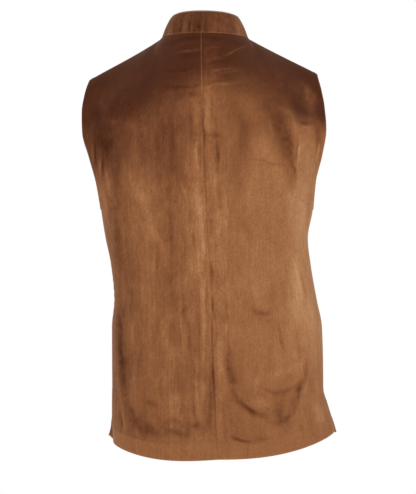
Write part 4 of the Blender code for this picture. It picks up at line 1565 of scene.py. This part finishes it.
@dataclass
class Collar:
    """The stand collar: an outer band of velvet and an inner band behind it."""

    neck: Neckline = Neckline()
    outer_wall: float = 0.0014
    inner_wall: float = 0.0012
    seam_gap: float = 0.0003
    inner_start: float = 0.0014
    lip: float = 0.0028
    top_half_width: float = 0.0584
    top_back: float = 0.0625
    top_front: float = 0.0720
    back_height: float = 0.0360
    side_height: float = 0.0328
    front_height: float = 0.0340
    corner: float = 0.0130
    end_gap: float = 0.0030
    bow: float = 0.0012
    hug: float = 0.0005
    hug_reach: float = 0.0015
    lip_roll: float = 0.0009
    edge_turn: float = 0.0004
    turns: int = 260
    turns_ease: float = 1.35
    rows: int = 28
    rows_ease: float = 1.6
    middle_tone: float = 0.25
    side_tone: float = 0.15
    wander: float = 0.0012
    wander_size: float = 0.008
    flicker: float = 0.5
    flicker_size: float = 0.004
    edge_tone: float = 0.30
    seam_reach: float = 0.0009
    top_reach: float = 0.0012

    def frame(self, turns: np.ndarray) -> Tuple[np.ndarray, np.ndarray, np.ndarray, np.ndarray]:
        """Where the band starts, which way it stands, how tall it is and its outside.

        Args:
            turns: Angles round the neck.

        Returns:
            Base points, standing directions, heights and outward directions.
        """
        base = self.neck.points(turns)
        angle = np.radians(np.abs(turns))
        side = np.where(turns >= 0, 1.0, -1.0)
        share = 1.0 - np.sin(angle) ** 4
        behind = angle <= np.pi / 2
        x = side * self.top_half_width * np.sin(angle)
        x = x + np.where(behind, self.neck.seam_shift * np.cos(angle) ** 2, 0.0)
        y = np.where(behind, self.top_back, self.top_front) * np.cos(angle)
        goal = np.where(behind, self.back_height, self.front_height)
        rise = self.side_height + (goal - self.side_height) * share
        top = np.stack([x, y, base[:, 2] + rise], axis=1)
        along = self.neck.points(turns + 0.5) - self.neck.points(turns - 0.5)
        stand = top - base
        height = np.linalg.norm(stand, axis=1)
        out = np.cross(stand, along)
        out /= np.linalg.norm(out, axis=1, keepdims=True)
        facing = np.sum(out[:, :2] * base[:, :2], axis=1)
        out *= np.where(facing < 0, -1.0, 1.0)[:, None]
        return base, stand / height[:, None], height, out

    def band(self, inset: float, start: float, extra: float, roll: float) -> np.ndarray:
        """The outer face of one band.

        Args:
            inset: How far it lies inside the neckline.
            start: How far above the neckline it begins.
            extra: How far it stands above the outer band.
            roll: How far its top edge rolls outward.

        Returns:
            A grid of points.
        """
        last = 180.0 - math.degrees(self.end_gap / 2 / self.neck.half_width)
        shares = np.linspace(-1.0, 1.0, self.turns)
        turns = last * np.sin(shares * self.turns_ease) / math.sin(self.turns_ease)
        base, stand, height, out = self.frame(turns)
        to_end = np.radians(last - np.abs(turns)) * self.neck.half_width
        drop = clamp(self.corner - to_end, 0.0, self.corner)
        full = height + extra - (self.corner - np.sqrt(self.corner**2 - drop**2))
        rows = []
        for share in 1.0 - (1.0 - np.linspace(0.0, 1.0, self.rows)) ** self.rows_ease:
            up = start + (full - start) * share
            bow = self.bow * np.sin(np.pi * clamp(up / height))
            hug = self.hug * np.exp(-((up - start) / self.hug_reach))
            curl = roll * clamp((share - 0.90) / 0.10) ** 2
            edge = self.edge_turn * clamp((share - 0.96) / 0.04) ** 2 if roll == 0.0 else 0.0
            offset = bow + hug + curl - edge - inset
            rows.append(base + stand * up[:, None] + out * offset[:, None])
        return np.array(rows)

    def outer_tone(self, grid: np.ndarray) -> np.ndarray:
        """How light the outer band is painted: lighter towards its sides, with streaks in its
        pile, a painted highlight along its lower seam and painted shade along its top edge.

        Args:
            grid: The band's points.

        Returns:
            The tones.
        """
        x, z = grid[..., 0], grid[..., 2]
        up = np.linalg.norm(grid - grid[:1], axis=2)
        down = np.linalg.norm(grid - grid[-1:], axis=2)
        aside = soft_step((np.abs(x - 0.004) - 0.030) / 0.035)
        tone = self.middle_tone + self.side_tone * aside
        tone = tone + 0.05 * soft_step((0.01 - x) / 0.02)
        scale = MarkScale()
        moved = x + self.wander * drift(x, z, self.wander_size, 21)
        brushed = sum(mark.spread_over(moved, z, scale) for mark in COLLAR_MARKS)
        behind = soft_step(grid[..., 1] / 0.02)
        flicker = 1.0 + self.flicker * drift(x, z, self.flicker_size, 22)
        tone = tone + brushed * behind * flicker
        # Painted highlight along the lower seam and painted shade along the top edge
        edges = near(up, self.seam_reach) - near(down, self.top_reach)
        return clamp(tone + self.edge_tone * edges, 0.02, 0.98)

    def build(
        self, pile: bpy.types.Material, inner: bpy.types.Material
    ) -> Tuple[bpy.types.Object, bpy.types.Object]:
        """Make both bands.

        Args:
            pile: The outer band's material.
            inner: The inner band's material.

        Returns:
            The outer band and the inner one.
        """
        outer_grid = self.band(0.0, self.seam_gap / 4, 0.0, 0.0)
        outer = grid_mesh("collar_band", outer_grid, True)
        store_value(outer, "tone", self.outer_tone(outer_grid))
        store_value(outer, "unrest", np.ones(outer_grid.shape[:2]))
        outer.data.materials.append(pile)
        outer.data.materials.append(inner)
        thicken(outer, self.outer_wall)
        dress(outer, ["collar"])
        inset = self.outer_wall + self.seam_gap
        inner_grid = self.band(inset, self.inner_start, self.lip, self.lip_roll)
        band = grid_mesh("collar_inner_band", inner_grid, True)
        band.data.materials.append(inner)
        band.data.materials.append(inner)
        thicken(band, self.inner_wall)
        dress(band, ["collar_inner"])
        LOG.info("collar: two bands of %d turns", self.turns)
        return outer, band


# Half of a button's section: radius and height in metres
BUTTON_PROFILE = (
    (0.0, 0.0),
    (0.0058, 0.0),
    (0.0078, 0.0005),
    (0.0088, 0.0013),
    (0.0090, 0.0020),
    (0.0087, 0.0029),
    (0.0078, 0.0036),
    (0.0062, 0.0042),
    (0.0042, 0.0046),
    (0.0021, 0.0048),
    (0.0, 0.0048),
)


@dataclass
class Buttons:
    """Five covered buttons and their worked buttonholes down the centre front."""

    panel: Panel
    count: int = 5
    sides: int = 56
    first_height: float = -0.0960
    spacing: float = 0.0870
    clearance: float = 0.0005
    hole_half_length: float = 0.0115
    hole_half_width: float = 0.0011
    hole_shift: float = 0.0045
    hole_lift: float = 0.00045
    body_radius: float = 0.35
    thread: float = 0.00042
    wraps: int = 64
    wrap_depth: float = 0.0005

    def seats(self) -> List[Seat]:
        """Where each button sits.

        Returns:
            A point, the outward direction and the direction across for each.
        """
        grid = self.panel.grid
        normals = grid_normals(grid, 1.0)
        places = []
        for number in range(self.count):
            height = self.first_height - self.spacing * number
            x = BODY.read("front_x", height)
            gap = np.hypot(grid[..., 0] - x, grid[..., 2] - height)
            nearest = np.unravel_index(np.argmin(gap), gap.shape)
            out = normals[nearest] * (-1.0 if normals[nearest][1] > 0 else 1.0)
            point = grid[nearest]
            slide = np.array([x - point[0], 0.0, height - point[2]])
            slide[1] = -(out[0] * slide[0] + out[2] * slide[2]) / out[1]
            across = np.cross(np.array([0.0, 0.0, 1.0]), out)
            across /= np.linalg.norm(across)
            places.append((point + slide, out, across))
        return places

    def build_button(self, number: int, seat: Seat, cloth: bpy.types.Material) -> None:
        """Turn one domed button.

        Args:
            number: Which button it is, from 1.
            seat: Its place and directions.
            cloth: Its material.
        """
        shape = bmesh.new()
        before = None
        for radius, height in BUTTON_PROFILE:
            vertex = shape.verts.new((radius, 0.0, height))
            if before:
                shape.edges.new((before, vertex))
            before = vertex
        bmesh.ops.spin(
            shape,
            geom=shape.verts[:] + shape.edges[:],
            axis=(0.0, 0.0, 1.0),
            angle=2 * math.pi,
            steps=self.sides,
            use_merge=True,
        )
        bmesh.ops.remove_doubles(shape, verts=shape.verts[:], dist=0.00001)
        bmesh.ops.recalc_face_normals(shape, faces=shape.faces[:])
        mesh = bpy.data.meshes.new("button_%d_cover" % number)
        shape.to_mesh(mesh)
        shape.free()
        smooth_faces(mesh)
        mesh.materials.append(cloth)
        point, out, _ = seat
        turn = Vector(out).to_track_quat("Z", "Y").to_matrix().to_4x4()
        mesh.transform(turn)
        mesh.transform(Matrix.Translation(point + out * self.clearance))
        piece = add_object("button_%d_cover" % number, mesh)
        dress(piece, ["button_%d" % number])

    def build(self, cloth: bpy.types.Material, thread: bpy.types.Material) -> None:
        """Make the buttons and buttonholes.

        Args:
            cloth: The buttons' material.
            thread: The buttonholes' material.
        """
        for number, seat in enumerate(self.seats(), start=1):
            self.build_button(number, seat, cloth)
            self.build_hole(number, seat, thread)
        LOG.info("buttons: %d with their buttonholes", self.count)

    def build_hole(self, number: int, seat: Seat, thread: bpy.types.Material) -> None:
        """Work the thread round one buttonhole.

        Args:
            number: Which buttonhole it is, from 1.
            seat: The button's place and directions.
            thread: The thread's material.
        """
        point, out, across = seat
        up = np.cross(out, across)
        middle = point + across * (self.hole_shift if across[0] > 0 else -self.hole_shift)
        curve = bpy.data.curves.new("buttonhole_%d" % number, "CURVE")
        curve.dimensions = "3D"
        curve.bevel_depth = self.thread
        curve.bevel_resolution = 1
        count = self.wraps * 4
        spline = curve.splines.new("POLY")
        spline.points.add(count - 1)
        for i in range(count):
            around = 2 * math.pi * i / count
            wave = self.wrap_depth * math.sin(around * self.wraps)
            along = (self.hole_half_length + wave) * math.cos(around)
            aside = (self.hole_half_width + wave) * math.sin(around)
            sag = along * along * 0.5 / self.body_radius
            place = middle + across * along + up * aside + out * (self.hole_lift - sag)
            spline.points[i].co = (*place, 1.0)
        spline.use_cyclic_u = True
        curve.materials.append(thread)
        dress(add_object("buttonhole_%d_thread" % number, curve), [])


# Name, place, side in metres and power in watts
LIGHTS = (
    ("key", (0.9, 2.4, 1.3), 1.2, 26.0),
    ("fill", (-1.8, 1.9, 0.1), 1.6, 12.0),
    ("front", (0.6, -2.6, 1.1), 1.8, 26.0),
)


@dataclass
class Studio:
    """The camera, the lights and the plain floor."""

    picture_step: float = 0.00168
    picture_height: float = 494.0
    sensor: float = 36.0
    distance: float = 3.0
    camera_x: float = -0.00504
    camera_z: float = -0.350
    floor_height: float = -1.45
    floor_reach: float = 1.9

    def add_light(self, name: str, place: Sequence[float], size: float, power: float) -> None:
        """Hang a square light that faces the jacket.

        Args:
            name: Its name.
            place: Where it hangs.
            size: Its side in metres.
            power: Its power in watts.
        """
        data = bpy.data.lights.new(name, "AREA")
        data.energy = power
        data.size = size
        light = add_object(name, data)
        light.location = place
        aim = Vector((0.0, 0.0, self.camera_z)) - Vector(place)
        light.rotation_euler = aim.to_track_quat("-Z", "Y").to_euler()

    def build(self) -> None:
        """Set up the view."""
        scene = bpy.context.scene
        data = bpy.data.cameras.new("camera")
        data.sensor_width = self.sensor
        data.lens = self.sensor * self.distance / (self.picture_height * self.picture_step)
        camera = add_object("camera", data)
        camera.location = (self.camera_x, self.distance, self.camera_z)
        camera.rotation_euler = (math.pi / 2, 0.0, math.pi)
        scene.camera = camera
        world = bpy.data.worlds.new("studio")
        world.use_nodes = True
        back = world.node_tree.nodes["Background"]
        back.inputs["Color"].default_value = (1.0, 1.0, 1.0, 1.0)
        back.inputs["Strength"].default_value = 1.0
        scene.world = world
        scene.view_settings.view_transform = "Standard"
        for name, place, size, power in LIGHTS:
            self.add_light(name, place, size, power)
        mesh = bpy.data.meshes.new("floor")
        far, low = self.floor_reach, self.floor_height
        corners = [(-far, -far, low), (far, -far, low), (far, far, low), (-far, far, low)]
        mesh.from_pydata(corners, [], [(0, 1, 2, 3)])
        mesh.materials.append(PlainFinish("floor_paint", (0.86, 0.86, 0.85)).make())
        add_object("floor", mesh)
        LOG.info("studio: camera at %.2f m", self.distance)


VELVET_STOPS = (
    (0.00, (0.036, 0.009, 0.0035)),
    (0.15, (0.062, 0.017, 0.0065)),
    (0.31, (0.100, 0.033, 0.013)),
    (0.48, (0.152, 0.055, 0.021)),
    (0.62, (0.206, 0.079, 0.031)),
    (0.72, (0.248, 0.101, 0.040)),
    (0.88, (0.328, 0.155, 0.069)),
    (1.00, (0.400, 0.210, 0.100)),
)


def main() -> None:
    """Build the jacket's pieces in order."""
    logging.basicConfig(level=logging.INFO, format="%(message)s")
    velvet = PileFinish("velvet_pile", VELVET_STOPS).make()
    collar_pile = PileFinish("collar_pile", VELVET_STOPS, mottle=0.50, streak=0.46).make()
    reverse = WovenFinish(
        "reverse_weave", (0.072, 0.028, 0.013), (0.118, 0.048, 0.022), sheen=0.02
    ).make()
    smooth = WovenFinish(
        "collar_weave", (0.170, 0.070, 0.034), (0.250, 0.108, 0.055), roughness=0.6
    ).make()
    cover = WovenFinish(
        "button_weave", (0.064, 0.020, 0.008), (0.118, 0.040, 0.016), roughness=0.85, sheen=0.0
    ).make()
    thread = WovenFinish("thread", (0.060, 0.022, 0.012), (0.120, 0.048, 0.024)).make()
    sheets = {
        (Face.BACK, Side.LEFT): (0.251, 0.742, 0.159),
        (Face.BACK, Side.RIGHT): (0.270, 0.735, 0.162),
        (Face.FRONT, Side.LEFT): (0.302, 0.750, 0.171),
        (Face.FRONT, Side.RIGHT): (0.301, 0.745, 0.176),
    }
    for (face, side), (width, length, area) in sheets.items():
        panel = Panel(Cut(face, side))
        piece = panel.build(velvet, reverse)
        if face is Face.FRONT and side is Side.LEFT:
            Buttons(panel).build(cover, thread)
    outer, inner = Collar().build(collar_pile, smooth)
    Studio().build()


if __name__ == "__main__":
    main()
